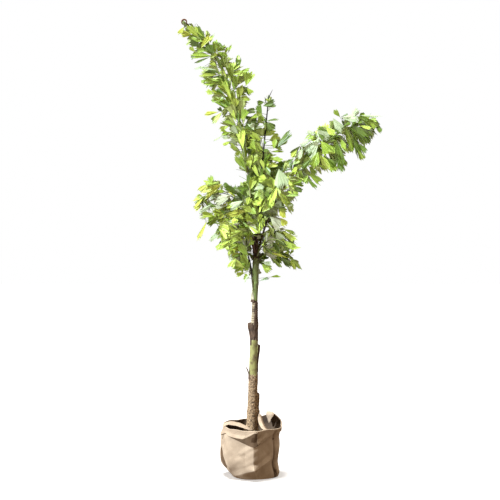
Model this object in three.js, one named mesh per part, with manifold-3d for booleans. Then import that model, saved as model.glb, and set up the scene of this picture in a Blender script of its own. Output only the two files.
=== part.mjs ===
// A young fishtail palm with its root ball wrapped in a folded paper bag.
// Millimetres, +Z up. The origin is the centre of the bag's flat underside,
// +X is the side of the long reaching frond, and -Y faces the viewer.
import * as THREE from 'three';
import { mergeVertices } from 'three/addons/utils/BufferGeometryUtils.js';
import Module from 'manifold-3d';

const wasm = await Module();
wasm.setup();

// Driving sizes
const CLEAR = 0.3;             // gap between pieces that touch
const SOIL_CLEAR = 1.2;        // gap between the soil and the bag's side
const BAG_FOOT = 122;          // radius of the bag where it stands
const BAG_FOOT_ROUND = 7;      // how far the rounded lower edge reaches in
const BAG_BELLY = 156;         // largest radius of the bag
const BAG_BELLY_HEIGHT = 105;
const BAG_MOUTH = 149;         // radius under the rim
const BAG_WALL = 2.5;
const BAG_FLOOR = 3;
const BAG_COLUMNS = 40;
const RIM_HEIGHT = 256;        // rim at the front
const CUFF_THICK = 4;          // the folded-over paper stands this far proud
const SOIL_EDGE = 204;         // soil height at the bag's wall
const STEM_FOOT = 218;         // soil height at the stem
const STEM_TOP = 900;          // where the fibrous stem meets the green crownshaft
const SHAFT_TOP = 1108;
const HEART_TOP = 1226;
const STEM_LEAN = 20;          // sideways lean between the soil and the crown
const STEM_RADIUS_TOP = 13.8;
const STEM_TAPER = 15;         // extra radius at the soil
const FLARE = 8;               // root flare over that
const FLARE_HEIGHT = 22;
const STEM_COLUMNS = 14;
const STEM_SPACING = 56;
const LEAF_THICK = 2;
const RIB_STEP = 10;           // the fronds' ribs are worked out in steps of this length
const LEAFLET_GROWTH = 1.12;   // these leaflets are fewer and larger than the real ones
const LEAFLET_SPACING = 1.58;
const LEAF_DROOP = 0.16;       // how far a leaflet's tip sinks, as a share of its length
const LEAF_TWIST = 22;         // how far a leaflet turns out of its rib's plane, in degrees
const OWN_SPACE = 3;           // a leaflet stays this much nearer its own rib than any other

const COLOURS = {
  paper: 0xd3b795,
  soil: 0x4a382b,
  stem: 0x8f7a5e,
  shaft: 0x7d8454,
  heart: 0x5d4a33,
  leaf: 0x8fa052,
};

const radians = THREE.MathUtils.degToRad;
const smooth = THREE.MathUtils.smoothstep;

// Repeatable chance, so that the plant is the same every time
function dice(seed) {
  let state = seed | 0;
  return function roll() {
    state = (state + 0x6D2B79F5) | 0;
    let t = state;
    t = Math.imul(t ^ (t >>> 15), t | 1);
    t ^= t + Math.imul(t ^ (t >>> 7), t | 61);
    return ((t ^ (t >>> 14)) >>> 0) / 4294967296;
  };
}

// A closed mesh as a solid that can be joined and cut, with its faces pointing out
function toSolid(geometry) {
  const bare = geometry.clone();
  bare.deleteAttribute('normal');
  bare.deleteAttribute('uv');
  const merged = mergeVertices(bare, 1e-4);
  const points = new Float32Array(merged.attributes.position.array);
  const kept = [];
  const index = merged.index.array;
  for (let i = 0; i < index.length; i += 3) {
    const [a, b, c] = [index[i], index[i + 1], index[i + 2]];
    if (a !== b && b !== c && c !== a) kept.push(a, b, c);
  }
  let volume = 0;
  const [p, q, r] = [new THREE.Vector3(), new THREE.Vector3(), new THREE.Vector3()];
  for (let i = 0; i < kept.length; i += 3) {
    p.fromArray(points, kept[i] * 3);
    q.fromArray(points, kept[i + 1] * 3);
    r.fromArray(points, kept[i + 2] * 3);
    volume += p.dot(q.cross(r));
  }
  if (volume < 0) kept.reverse();
  const mesh = new wasm.Mesh({ numProp: 3, vertProperties: points, triVerts: new Uint32Array(kept) });
  return new wasm.Manifold(mesh);
}

function toGeometry(solid) {
  const mesh = solid.getMesh();
  const geometry = new THREE.BufferGeometry();
  geometry.setAttribute('position', new THREE.BufferAttribute(mesh.vertProperties.slice(), 3));
  geometry.setIndex(new THREE.BufferAttribute(mesh.triVerts.slice(), 1));
  geometry.computeVertexNormals();
  return geometry;
}

// Only the largest piece of a solid, without the scraps that a cut can leave
function largest(solid) {
  const pieces = solid.decompose();
  pieces.sort((a, b) => b.volume() - a.volume());
  return pieces[0];
}

// A closed skin of rows and columns round the upright axis; place(row, angle)
// gives each point, and the first and last rows are single points
function skin(rows, columns, place) {
  const profile = [];
  for (let row = 0; row < rows; row++) {
    const radius = row === 0 || row === rows - 1 ? 0 : 1;
    profile.push(new THREE.Vector2(radius, row));
  }
  const geometry = new THREE.LatheGeometry(profile, columns);
  const position = geometry.attributes.position;
  for (let column = 0; column <= columns; column++) {
    const angle = (column % columns) / columns * 2 * Math.PI;
    for (let row = 0; row < rows; row++) {
      const point = place(row, angle);
      position.setXYZ(column * rows + row, point.x, point.y, point.z);
    }
  }
  return geometry;
}

// A tent of height 1 at an angle, falling to 0 over a half width, all in degrees
function tent(angle, at, halfWidth) {
  const turn = Math.abs(((THREE.MathUtils.radToDeg(angle) - at) % 360 + 540) % 360 - 180);
  return Math.max(0, 1 - turn / halfWidth);
}

// The bag's plan is a soft polygon: upright creases stand out between flatter panels
const BAG_CREASES = [
  { at: -86, high: 8, wide: 38 },
  { at: -24, high: 9, wide: 30 },
  { at: 42, high: 8, wide: 36 },
  { at: 104, high: 7, wide: 32 },
  { at: 162, high: 9, wide: 34 },
  { at: 222, high: 7, wide: 30 },
];
const BAG_PLEAT = { at: -37, deep: 9, wide: 10 };
const BAG_LIP = { at: 25, out: 16, wide: 50 };   // the rim is pulled out on the right
const BAG_SHIFT = -9;          // the full bag leans to the left over its foot

function bagRadius(height, angle) {
  let radius;
  if (height < BAG_BELLY_HEIGHT) {
    const rise = Math.sin(height / BAG_BELLY_HEIGHT * Math.PI / 2);
    radius = BAG_FOOT + (BAG_BELLY - BAG_FOOT) * Math.pow(rise, 0.8);
  } else {
    const rise = smooth(height, BAG_BELLY_HEIGHT, RIM_HEIGHT);
    radius = BAG_BELLY + (BAG_MOUTH - BAG_BELLY) * rise;
  }
  const strength = smooth(height, 0, 60);
  radius += BAG_LIP.out * tent(angle, BAG_LIP.at, BAG_LIP.wide) * smooth(height, SOIL_EDGE, RIM_HEIGHT);
  for (const crease of BAG_CREASES) {
    radius += crease.high * (tent(angle, crease.at, crease.wide) - 0.1) * strength;
  }
  radius -= BAG_PLEAT.deep * tent(angle, BAG_PLEAT.at, BAG_PLEAT.wide) * strength;
  return radius;
}

function bagPoint(height, angle, inset) {
  const radius = bagRadius(height, angle) - inset;
  const shift = BAG_SHIFT * smooth(height, 0, BAG_BELLY_HEIGHT) * (1 - smooth(height, SOIL_EDGE, RIM_HEIGHT));
  return new THREE.Vector3(shift + radius * Math.cos(angle), radius * Math.sin(angle), height);
}

// The rim stands higher behind, with a torn flap behind on the right
function rimHeight(angle) {
  const behind = 14 * smooth(Math.sin(angle), -0.2, 0.7);
  return RIM_HEIGHT + behind + 40 * tent(angle, 48, 34) + 6 * tent(angle, 200, 25);
}

// The folded-over paper hangs in a point at the front and in shallow points elsewhere
function cuffHeight(angle) {
  const points = 62 * tent(angle, -87, 58) + 34 * tent(angle, 75, 60) + 24 * tent(angle, 180, 55);
  return RIM_HEIGHT - 26 - points;
}

const BAG_HEIGHTS = [8, 30, 62, 96, 130, 164, SOIL_EDGE];

function makeWrap() {
  const outer = [0, 0].concat(BAG_HEIGHTS);
  const rows = outer.length + 5 + BAG_HEIGHTS.length + 2;
  function place(row, angle) {
    const low = cuffHeight(angle);
    const high = rimHeight(angle);
    if (row === 0) return new THREE.Vector3(0, 0, 0);
    if (row === 1) return bagPoint(0, angle, BAG_FOOT_ROUND);
    if (row < outer.length) {
      const belowCuff = low - 2 * (outer.length - row);
      return bagPoint(Math.min(outer[row], belowCuff), angle, 0);
    }
    const step = row - outer.length;
    if (step === 0) return bagPoint(low, angle, 0);
    if (step === 1) return bagPoint(low - 1, angle, -CUFF_THICK);
    if (step === 2) return bagPoint((low + RIM_HEIGHT) / 2, angle, -CUFF_THICK - 1);
    if (step === 3) return bagPoint(high - 2, angle, -CUFF_THICK + 1);
    if (step === 4) return bagPoint(high, angle, BAG_WALL);
    const inner = rows - 3 - row;
    if (inner >= 0) return bagPoint(BAG_HEIGHTS[inner], angle, BAG_WALL);
    if (row === rows - 2) return bagPoint(BAG_FLOOR, angle, BAG_FOOT_ROUND + BAG_WALL);
    return new THREE.Vector3(0, 0, BAG_FLOOR);
  }
  return skin(rows, BAG_COLUMNS, place);
}

// Soil and roots fill the bag, a little domed, with a flat place under the stem
function makeRootBall() {
  const inset = BAG_WALL + SOIL_CLEAR;
  const bottom = BAG_FLOOR + CLEAR;
  const top = [0.86, 0.62, 0.4];
  const firstTop = 2 + BAG_HEIGHTS.length;
  const rows = firstTop + top.length + 2;
  const seat = STEM_RADIUS_TOP + STEM_TAPER + FLARE + 10;
  const seatHeight = STEM_FOOT - CLEAR;
  function place(row, angle) {
    if (row === 0) return new THREE.Vector3(0, 0, bottom);
    if (row === 1) return bagPoint(bottom, angle, BAG_FOOT_ROUND + inset);
    if (row < firstTop) return bagPoint(BAG_HEIGHTS[row - 2], angle, inset);
    if (row < firstTop + top.length) {
      const share = top[row - firstTop];
      const point = bagPoint(SOIL_EDGE, angle, inset);
      const lump = 3 * Math.sin(3 * angle + row * 2) + 2 * Math.sin(7 * angle + row);
      const height = SOIL_EDGE + (seatHeight - SOIL_EDGE) * (1 - share) + lump;
      return new THREE.Vector3(point.x * share, point.y * share, height);
    }
    if (row === rows - 2) {
      return new THREE.Vector3(seat * Math.cos(angle), seat * Math.sin(angle), seatHeight);
    }
    return new THREE.Vector3(0, 0, seatHeight);
  }
  return skin(rows, BAG_COLUMNS, place);
}

// The stem's middle line and radius at a height
function stemCentre(height) {
  return STEM_LEAN * (height - STEM_FOOT) / (SHAFT_TOP - STEM_FOOT);
}

function stemRadius(height, angle) {
  if (height > STEM_TOP) {
    const rise = smooth(height, STEM_TOP, STEM_TOP + 150);
    const narrow = 2 * smooth(height, SHAFT_TOP, HEART_TOP);
    return STEM_RADIUS_TOP - 1 + 3 * rise - narrow;
  }
  const low = Math.pow((STEM_TOP - height) / (STEM_TOP - STEM_FOOT), 0.85);
  const flare = FLARE * Math.exp(-(height - STEM_FOOT) / FLARE_HEIGHT);
  return STEM_RADIUS_TOP + STEM_TAPER * low + flare * (0.75 + 0.4 * Math.cos(5 * angle + 1));
}

// A length of the stem between two heights; each old sheath ends in a small step.
// extra makes it larger all round, for cutting what stands against it.
function makeStem(from, to, rings, extra = 0) {
  const heights = [];
  for (const ring of rings) heights.push(ring - 0.5, ring + 2);
  const spaced = [from];
  for (let height = from + 12; height < to - 12; height += STEM_SPACING) spaced.push(height);
  spaced.push(to);
  const levels = spaced.concat(heights).sort((a, b) => a - b);
  const rows = levels.length + 2;
  function place(row, angle) {
    const level = levels[Math.min(Math.max(row - 1, 0), levels.length - 1)];
    const centre = stemCentre(level);
    let height = level;
    if (row < 2) height -= extra;
    if (row > rows - 3) height += extra;
    if (row === 0 || row === rows - 1) return new THREE.Vector3(centre, 0, height);
    let radius = stemRadius(level, angle) + extra;
    for (const ring of rings) {
      if (level < ring) radius += 1.4 * smooth(level, ring - 60, ring);
    }
    return new THREE.Vector3(centre + radius * Math.cos(angle), radius * Math.sin(angle), height);
  }
  return skin(rows, STEM_COLUMNS, place);
}

// A tapering limb along a path; flat squeezes it across
function makeLimb(path, radiusFoot, radiusTip, segments, sides, flat = 1) {
  const geometry = new THREE.CylinderGeometry(1, 1, 1, sides, segments);
  const position = geometry.attributes.position;
  for (let i = 0; i < position.count; i++) {
    const share = position.getY(i) + 0.5;
    const spot = along(path, share);
    const radius = radiusFoot + (radiusTip - radiusFoot) * share;
    const point = spot.point.clone();
    point.addScaledVector(spot.side, radius * position.getX(i));
    point.addScaledVector(spot.rise, radius * flat * position.getZ(i));
    position.setXYZ(i, point.x, point.y, point.z);
  }
  return geometry;
}

// A rib is an arc: its pitch goes from the first angle to the second as it grows
function ribPath(frond) {
  const steps = Math.max(4, Math.round(frond.length / RIB_STEP));
  const stride = frond.length / steps;
  const point = new THREE.Vector3(...frond.foot);
  const points = [point.clone()];
  const tangents = [];
  const sides = [];
  for (let k = 0; k < steps; k++) {
    const eased = Math.pow((k + 0.5) / steps, frond.ease);
    const pitch = radians(frond.pitch[0] + (frond.pitch[1] - frond.pitch[0]) * eased);
    const azimuth = radians(frond.azimuth);
    const flat = Math.cos(pitch);
    const tangent = new THREE.Vector3(flat * Math.cos(azimuth), flat * Math.sin(azimuth), Math.sin(pitch));
    point.addScaledVector(tangent, stride);
    points.push(point.clone());
    tangents.push(tangent);
    sides.push(new THREE.Vector3(-Math.sin(azimuth), Math.cos(azimuth), 0));
  }
  return { points, tangents, sides, length: frond.length };
}

function along(path, share) {
  const steps = path.tangents.length;
  const k = Math.min(steps - 1, Math.floor(share * steps));
  const point = path.points[k].clone().lerp(path.points[k + 1], share * steps - k);
  const tangent = path.tangents[k];
  const side = path.sides[k];
  return { point, tangent, side, rise: tangent.clone().cross(side) };
}

// A leaflet widens from its foot to a slanting fishtail end: shares of its length and width
const LEAF_OUTLINE = [[0, 0], [0.6, -0.5], [0.74, -0.2], [1, 0.22], [0.64, 0.42]];
const LEAF_REACH = [[0.6, -0.5], [0.8, -0.24], [1, 0.22], [0.64, 0.42]];
const GOLDEN_ANGLE = 137.508;

function leafPoint(leaf, a, b, lift = 0) {
  const point = leaf.base.clone();
  point.addScaledVector(leaf.out, leaf.length * a);
  point.addScaledVector(leaf.across, leaf.width * b);
  point.addScaledVector(leaf.normal, lift);
  point.z -= LEAF_DROOP * leaf.length * a * a;
  return point;
}

// Leaflets stand round the rib in every direction, a golden angle apart. Their lengths,
// widths and turns vary by the shares and degrees given here.
const VARIED = { length: 0.18, width: 0.2, turn: 25, spread: 10 };
const SPREAD_LOSS = 0.35;      // leaflets close up towards the tip of the rib

function leafletsOf(frond, path) {
  const roll = dice(frond.seed);
  const sway = () => 2 * roll() - 1;
  const list = [];
  let count = 0;
  let at = frond.bare * frond.length;
  while (at < frond.length) {
    const spot = along(path, at / frond.length);
    const rise = spot.rise.z < 0 ? spot.rise.clone().negate() : spot.rise;
    const grown = (at / frond.length - frond.bare) / (1 - frond.bare);
    const [first, middle, last] = frond.grow;
    const size = grown < 0.5
      ? first + (middle - first) * grown * 2
      : middle + (last - middle) * (grown * 2 - 1);
    const length = frond.blade * LEAFLET_GROWTH * size * (1 + VARIED.length * sway());
    const width = length * frond.wide * (1 + VARIED.width * sway());
    const turn = radians(count * GOLDEN_ANGLE + VARIED.turn * sway());
    const spread = radians(frond.spread * (1 - SPREAD_LOSS * grown) + VARIED.spread * sway());
    const twist = radians(LEAF_TWIST * sway());
    const hand = roll() < 0.5 ? 1 : -1;
    const out = spot.tangent.clone().multiplyScalar(Math.cos(spread));
    out.addScaledVector(spot.side, Math.sin(spread) * Math.cos(turn));
    out.addScaledVector(rise, Math.sin(spread) * Math.sin(turn));
    out.z -= frond.sag;
    out.normalize();
    const level = spot.tangent.clone().addScaledVector(out, -spot.tangent.dot(out)).normalize();
    const across = level.clone().multiplyScalar(Math.cos(twist));
    across.addScaledVector(out.clone().cross(level), Math.sin(twist));
    const normal = out.clone().cross(across);
    list.push({ base: spot.point, out, across: across.multiplyScalar(hand), normal, length, width });
    at += frond.gap * LEAFLET_SPACING;
    count += 1;
  }
  return list;
}

function makeLeaflet(leaf) {
  const outline = new THREE.Shape(LEAF_OUTLINE.map(([a, b]) => new THREE.Vector2(a, b)));
  const geometry = new THREE.ExtrudeGeometry(outline, { depth: 1, bevelEnabled: false });
  const position = geometry.attributes.position;
  for (let i = 0; i < position.count; i++) {
    const lift = (position.getZ(i) - 0.5) * LEAF_THICK;
    const point = leafPoint(leaf, position.getX(i), position.getY(i), lift);
    position.setXYZ(i, point.x, point.y, point.z);
  }
  return geometry;
}

function nearest(points, spot) {
  let best = Infinity;
  for (const point of points) best = Math.min(best, point.distanceTo(spot));
  return best;
}

// A leaflet is kept only where it stays in the space of its own rib
function keepsOwnSpace(leaf, paths, own) {
  for (const [a, b] of LEAF_REACH) {
    const spot = leafPoint(leaf, a, b);
    const mine = nearest(paths[own].points, spot);
    for (let other = 0; other < paths.length; other++) {
      if (other !== own && nearest(paths[other].points, spot) < mine + OWN_SPACE) return false;
    }
  }
  return true;
}

// The fronds. foot is where the rib starts, inside the crown; pitch is in degrees above
// level at its foot and tip; ease above 1 keeps the bend for the tip; bare is the share
// with no leaflets; blade is a leaflet's length and grow its share at foot, middle and tip
const FRONDS = [
  { name: 'frond_tall_left', foot: [14, 4, 1207], length: 1210, azimuth: 180, pitch: [85, 42], ease: 2.6,
    bare: 0.17, gap: 10.5, blade: 150, grow: [0.85, 1.15, 0.5], spread: 66, sag: 0.02, seed: 11, wide: 0.5,
    thick: 5 },
  { name: 'frond_tall_right', foot: [26, 2, 1140], length: 975, azimuth: 7, pitch: [77, 18], ease: 1.2,
    bare: 0.3, gap: 10.5, blade: 146, grow: [0.85, 1.1, 0.8], spread: 66, sag: 0.25, seed: 22, wide: 0.55,
    thick: 5.5 },
  { name: 'frond_spear', foot: [21, 1, 1207], length: 760, azimuth: 2, pitch: [86, 84], ease: 1,
    bare: 0.2, gap: 13, blade: 120, grow: [1.15, 1, 0.6], spread: 60, sag: 0.1, seed: 33, wide: 0.55,
    thick: 4 },
  { name: 'frond_arch_left', foot: [9, -4, 1152], length: 505, azimuth: 188, pitch: [87, -52], ease: 2.1,
    bare: 0.24, gap: 8.5, blade: 122, grow: [1, 1.05, 0.65], spread: 66, sag: 0.5, seed: 44, wide: 0.5,
    thick: 4.5 },
  { name: 'frond_low_left', foot: [8, 0, 962], length: 385, azimuth: 183, pitch: [84, -60], ease: 3.2,
    bare: 0.2, gap: 8.5, blade: 122, grow: [1.05, 1, 0.7], spread: 74, sag: 0.55, seed: 55, wide: 0.5,
    thick: 4.5 },
  { name: 'frond_low_right', foot: [30, -6, 1162], length: 240, azimuth: -18, pitch: [72, -50], ease: 1.15,
    bare: 0.2, gap: 8.5, blade: 116, grow: [1, 1, 0.7], spread: 66, sag: 0.4, seed: 66, wide: 0.5,
    thick: 4 },
  { name: 'frond_lowest_right', foot: [30, 4, 1110], length: 215, azimuth: 14, pitch: [60, -38], ease: 0.8,
    bare: 0.18, gap: 8.5, blade: 98, grow: [1, 1, 0.7], spread: 66, sag: 0.3, seed: 67, wide: 0.45,
    thick: 4 },
  { name: 'frond_low_front', foot: [25, -9, 1132], length: 270, azimuth: 306, pitch: [64, -30], ease: 1,
    bare: 0.18, gap: 9, blade: 100, grow: [1, 1, 0.8], spread: 66, sag: 0.3, seed: 71, wide: 0.5,
    thick: 4 },
  { name: 'frond_front_left', foot: [17, -10, 1152], length: 455, azimuth: 237, pitch: [74, -30], ease: 1,
    bare: 0.16, gap: 9, blade: 130, grow: [0.9, 1, 0.8], spread: 66, sag: 0.4, seed: 77, wide: 0.5,
    thick: 4.5 },
  { name: 'frond_front_right', foot: [24, -8, 1177], length: 540, azimuth: 294, pitch: [82, 5], ease: 1,
    bare: 0.14, gap: 9, blade: 130, grow: [0.95, 1.05, 0.8], spread: 66, sag: 0.3, seed: 78, wide: 0.5,
    thick: 4.5 },
  { name: 'frond_back', foot: [20, 9, 1187], length: 610, azimuth: 80, pitch: [82, 20], ease: 1,
    bare: 0.18, gap: 10, blade: 140, grow: [0.8, 1, 0.9], spread: 66, sag: 0.3, seed: 88, wide: 0.5,
    thick: 4.5 },
  { name: 'frond_back_low', foot: [14, 8, 1147], length: 440, azimuth: 122, pitch: [70, -40], ease: 1,
    bare: 0.16, gap: 10, blade: 130, grow: [0.9, 1, 0.9], spread: 66, sag: 0.3, seed: 99, wide: 0.5,
    thick: 4.5 },
];

const RIB_TIP = 1.6;
const RIB_SEGMENT = 40;
const RIB_SIDES = 5;
const LEAF_SIZES = [1, 0.75, 0.55];

// A frond is its rib with the leaflets fused on, cut clear of what it grows out of.
// A leaflet that would touch a neighbour is made smaller, or else left off.
function makeFrond(frond, paths, own, neighbours) {
  const path = paths[own];
  const segments = Math.round(frond.length / RIB_SEGMENT);
  const rib = toSolid(makeLimb(path, frond.thick, RIB_TIP, segments, RIB_SIDES));
  const parts = [rib];
  for (const leaf of leafletsOf(frond, path)) {
    for (const size of LEAF_SIZES) {
      const fitted = { ...leaf, length: leaf.length * size, width: leaf.width * size };
      if (!keepsOwnSpace(fitted, paths, own)) continue;
      const blade = toSolid(makeLeaflet(fitted));
      if (neighbours.some((other) => blade.minGap(other, 1) < CLEAR + 0.1)) continue;
      parts.push(blade);
      break;
    }
  }
  return wasm.Manifold.union(parts);
}

// Old leaf bases that still clasp the stem, with their torn tips standing off
const OLD_BASES = [
  { name: 'old_leaf_base_1', height: 696, azimuth: 180, length: 96, thick: 8 },
  { name: 'old_leaf_base_2', height: 594, azimuth: 8, length: 90, thick: 8 },
  { name: 'old_leaf_base_3', height: 474, azimuth: 176, length: 82, thick: 9 },
  { name: 'old_leaf_base_4', height: 330, azimuth: -12, length: 100, thick: 10 },
];

function makeOldBase(base, grownStem) {
  const azimuth = radians(base.azimuth);
  const reach = stemRadius(base.height, azimuth) - 2;
  const path = ribPath({
    foot: [stemCentre(base.height) + reach * Math.cos(azimuth), reach * Math.sin(azimuth), base.height],
    length: base.length, azimuth: base.azimuth, pitch: [86, 74], ease: 1,
  });
  const limb = toSolid(makeLimb(path, base.thick, 1.5, 4, 6, 0.5));
  return largest(limb.subtract(grownStem));
}

function addPiece(group, name, geometry, colour, roughness) {
  const material = new THREE.MeshStandardMaterial({ color: colour, roughness, metalness: 0 });
  const mesh = new THREE.Mesh(geometry, material);
  mesh.name = name;
  group.add(mesh);
}

const palm = new THREE.Group();

addPiece(palm, 'wrap', toGeometry(toSolid(makeWrap())), COLOURS.paper, 0.85);
addPiece(palm, 'root_ball', toGeometry(toSolid(makeRootBall())), COLOURS.soil, 0.95);

const STEM_RINGS = [342, 522, 702, 792];
const SHAFT_RINGS = [1002];
const stem = toSolid(makeStem(STEM_FOOT, STEM_TOP, STEM_RINGS));
const shaft = toSolid(makeStem(STEM_TOP + CLEAR, SHAFT_TOP, SHAFT_RINGS));
const heart = toSolid(makeStem(SHAFT_TOP + CLEAR, HEART_TOP, []));
addPiece(palm, 'trunk', toGeometry(stem), COLOURS.stem, 0.85);
addPiece(palm, 'crownshaft', toGeometry(shaft), COLOURS.shaft, 0.55);
addPiece(palm, 'crown_heart', toGeometry(heart), COLOURS.heart, 0.8);

const grownStem = toSolid(makeStem(STEM_FOOT, STEM_TOP, STEM_RINGS, CLEAR));
for (const base of OLD_BASES) {
  addPiece(palm, base.name, toGeometry(makeOldBase(base, grownStem)), COLOURS.stem, 0.9);
}

const grownShaft = toSolid(makeStem(STEM_TOP + CLEAR, SHAFT_TOP, SHAFT_RINGS, CLEAR));
const grownHeart = toSolid(makeStem(SHAFT_TOP + CLEAR, HEART_TOP, [], CLEAR));
const paths = FRONDS.map(ribPath);
const bareRibs = FRONDS.map((frond, own) => {
  const segments = Math.round(frond.length / RIB_SEGMENT);
  return toSolid(makeLimb(paths[own], frond.thick, RIB_TIP, segments, RIB_SIDES));
});
const grown = [];
FRONDS.forEach((frond, own) => {
  const ribs = bareRibs.filter((rib, other) => other !== own);
  const whole = makeFrond(frond, paths, own, [stem, shaft, heart, ...ribs, ...grown]);
  const cut = largest(whole.subtract(grownShaft).subtract(grownHeart));
  grown.push(cut);
  addPiece(palm, frond.name, toGeometry(cut), COLOURS.leaf, 0.6);
});

export default palm;
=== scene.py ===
# %% [markdown]
# A young fishtail palm with its root ball in a paper bag
#
# The object is a nursery palm as it is sold: a slim stem about two metres tall with its
# crown, a ball of soil and roots, and a stiff kraft paper bag folded round the ball.
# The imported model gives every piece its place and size. This script gives each one its
# looks: the bag is folded from one fine mesh, the stem gets its fibres and scars, and
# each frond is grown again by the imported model's own rule, carried on to smaller
# leaflets. Shapes are worked out in millimetres, as a grower would measure them, and
# turned to metres when a mesh is made.

import math

import bpy
import numpy as np
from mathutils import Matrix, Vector


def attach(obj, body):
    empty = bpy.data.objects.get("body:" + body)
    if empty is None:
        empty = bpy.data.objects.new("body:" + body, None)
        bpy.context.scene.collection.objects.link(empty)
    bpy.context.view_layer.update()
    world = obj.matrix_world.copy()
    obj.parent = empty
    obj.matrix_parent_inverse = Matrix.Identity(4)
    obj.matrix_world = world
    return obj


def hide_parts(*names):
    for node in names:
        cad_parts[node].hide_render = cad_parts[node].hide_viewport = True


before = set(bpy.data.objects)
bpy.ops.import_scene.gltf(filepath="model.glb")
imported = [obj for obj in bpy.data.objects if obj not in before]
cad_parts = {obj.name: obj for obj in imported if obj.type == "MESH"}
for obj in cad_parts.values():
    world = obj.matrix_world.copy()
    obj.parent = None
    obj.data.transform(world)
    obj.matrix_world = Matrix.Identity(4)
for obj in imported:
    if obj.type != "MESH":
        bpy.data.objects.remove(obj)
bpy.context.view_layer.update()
MM = 0.001

# %% [markdown]
# Camera
#
# The picture is taken level, at the height of the middle of the plant, from five and a
# half metres away. A long lens keeps the upright stem straight and shows the bag's rim as
# a narrow ellipse. A near camera with a short lens would bend both, so the distance is
# fixed first and the focal length follows from how large the plant stands in the frame.

# %% Place the camera
CAMERA_AT = (-10.4, -5500, 1170)
FOCAL_LENGTH = 76.15           # millimetres, on a 36 mm wide sensor

lens = bpy.data.cameras.new("camera")
lens.lens = FOCAL_LENGTH
lens.sensor_width = 36
lens.clip_end = 100
camera = bpy.data.objects.new("camera", lens)
camera.location = Vector(CAMERA_AT) * MM
camera.rotation_euler = (math.pi / 2, 0, 0)
bpy.context.scene.collection.objects.link(camera)
bpy.context.scene.camera = camera
print("camera", [round(v, 3) for v in camera.location])

# %% [markdown]
# Floor and light
#
# A studio sweep is a large pale sheet that runs on behind the object with no edge. Here
# one wide plane does that. A surround as bright as the white that the picture shows would
# wash the folds out, so the surround that lights the plant is a dim one of a warm shade,
# and only what the camera sees behind it is white. The main lamp is high on the left in
# front: it lights the left of the stem and the bag's left panel and leaves the right ones
# to the surround. A wide lamp overhead reaches the tops of the leaves, and a very wide one
# low in front fills in the leaves alone, so that the bag keeps its dark side. The sheet
# glows a little, as if lit from behind, and has a lamp of its own that only the bag
# shades, so it stays even but for one soft shadow. A studio does this with boards between
# lamp and object. In Blender such boards are light linking.

# %% Make the floor and the lamps
FLOOR_HALF = 30000
# Each lamp: its strength, apparent size, colour, and direction round the upright and above the floor
MAIN_LAMP = dict(strength=7.4, width=6, colour=(0.9, 1.05, 1.2), turn=-150, rise=42)
OVERHEAD_LAMP = dict(strength=3.4, width=54, colour=(1, 0.98, 0.92), turn=0, rise=90)
SHEET_LAMP = dict(strength=3.0, width=18, colour=(1, 1, 1), turn=-175, rise=82)
FILL_LAMP = dict(strength=4.0, width=80, colour=(1, 1, 1), turn=-100, rise=-22)
SURROUND = 0.31
WARM_SHADE = (1, 0.77, 0.54, 1)
SHEET_MOTTLE = 1250            # cloudiness of the sheet, millimetres
SHEET_GLOW = dict(colour=(0.93, 0.97, 1, 1), strength=0.5)


def linear(code):
    """An sRGB hex colour as the linear colour that a shader takes."""
    shares = [int(code[i:i + 2], 16) / 255 for i in (0, 2, 4)]
    turned = [s / 12.92 if s <= 0.04045 else ((s + 0.055) / 1.055) ** 2.4 for s in shares]
    return (*turned, 1)


def add(tree, kind, inputs=None, **settings):
    """Adds a node. Its settings go by name, and its inputs are values or sockets to link."""
    node = tree.nodes.new("ShaderNode" + kind)
    for name, value in settings.items():
        setattr(node, name, value)
    for name, value in (inputs or {}).items():
        if isinstance(value, bpy.types.NodeSocket):
            tree.links.new(value, node.inputs[name])
        else:
            node.inputs[name].default_value = value
    return node


def new_material(name, values):
    """A material, its tree and its main shader, with the shader's own values set."""
    material = bpy.data.materials.new(name)
    material.use_nodes = True
    shader = material.node_tree.nodes["Principled BSDF"]
    for socket, value in values.items():
        shader.inputs[socket].default_value = value
    return material, material.node_tree, shader


surround = bpy.data.worlds.new("surround")
surround.use_nodes = True
dim = surround.node_tree.nodes["Background"]
dim.inputs["Color"].default_value = WARM_SHADE
dim.inputs["Strength"].default_value = SURROUND
white = add(surround.node_tree, "Background", {"Strength": 1.0})
white.inputs["Color"].default_value = (1, 1, 1, 1)
seen = add(surround.node_tree, "LightPath").outputs["Is Camera Ray"]
either = add(surround.node_tree, "MixShader", {0: seen, 1: dim.outputs[0], 2: white.outputs[0]})
surround.node_tree.links.new(either.outputs[0], surround.node_tree.nodes["World Output"].inputs["Surface"])
bpy.context.scene.world = surround
bpy.context.scene.view_settings.view_transform = "Standard"


def add_lamp(name, strength, width, colour, turn, rise):
    """A far lamp from a direction round the upright and above the floor; width is its apparent size."""
    data = bpy.data.lights.new(name, "SUN")
    data.energy = strength
    data.angle = math.radians(width)
    data.color = colour
    turn, rise = math.radians(turn), math.radians(rise)
    towards = Vector((math.cos(rise) * math.cos(turn), math.cos(rise) * math.sin(turn), math.sin(rise)))
    made = bpy.data.objects.new(name, data)
    made.rotation_euler = towards.to_track_quat("Z", "Y").to_euler()
    bpy.context.scene.collection.objects.link(made)
    print(name, "shines from", [round(v, 2) for v in towards])
    return made


# Backdrop paper is rolled smooth and left uncoated: the eye gets an even white without a sheen
backdrop_paper, tree, shader = new_material("white_backdrop_paper", {
    "Roughness": 0.9, "Emission Color": SHEET_GLOW["colour"], "Emission Strength": SHEET_GLOW["strength"]})
cloud = add(tree, "TexNoise", {"Scale": 1 / (SHEET_MOTTLE * MM), "Detail": 2})
tint = add(tree, "Mix", {0: cloud.outputs[0], 6: linear("F5F5F5"), 7: linear("F9F9F9")}, data_type="RGBA")
tree.links.new(tint.outputs[2], shader.inputs["Base Color"])

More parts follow.
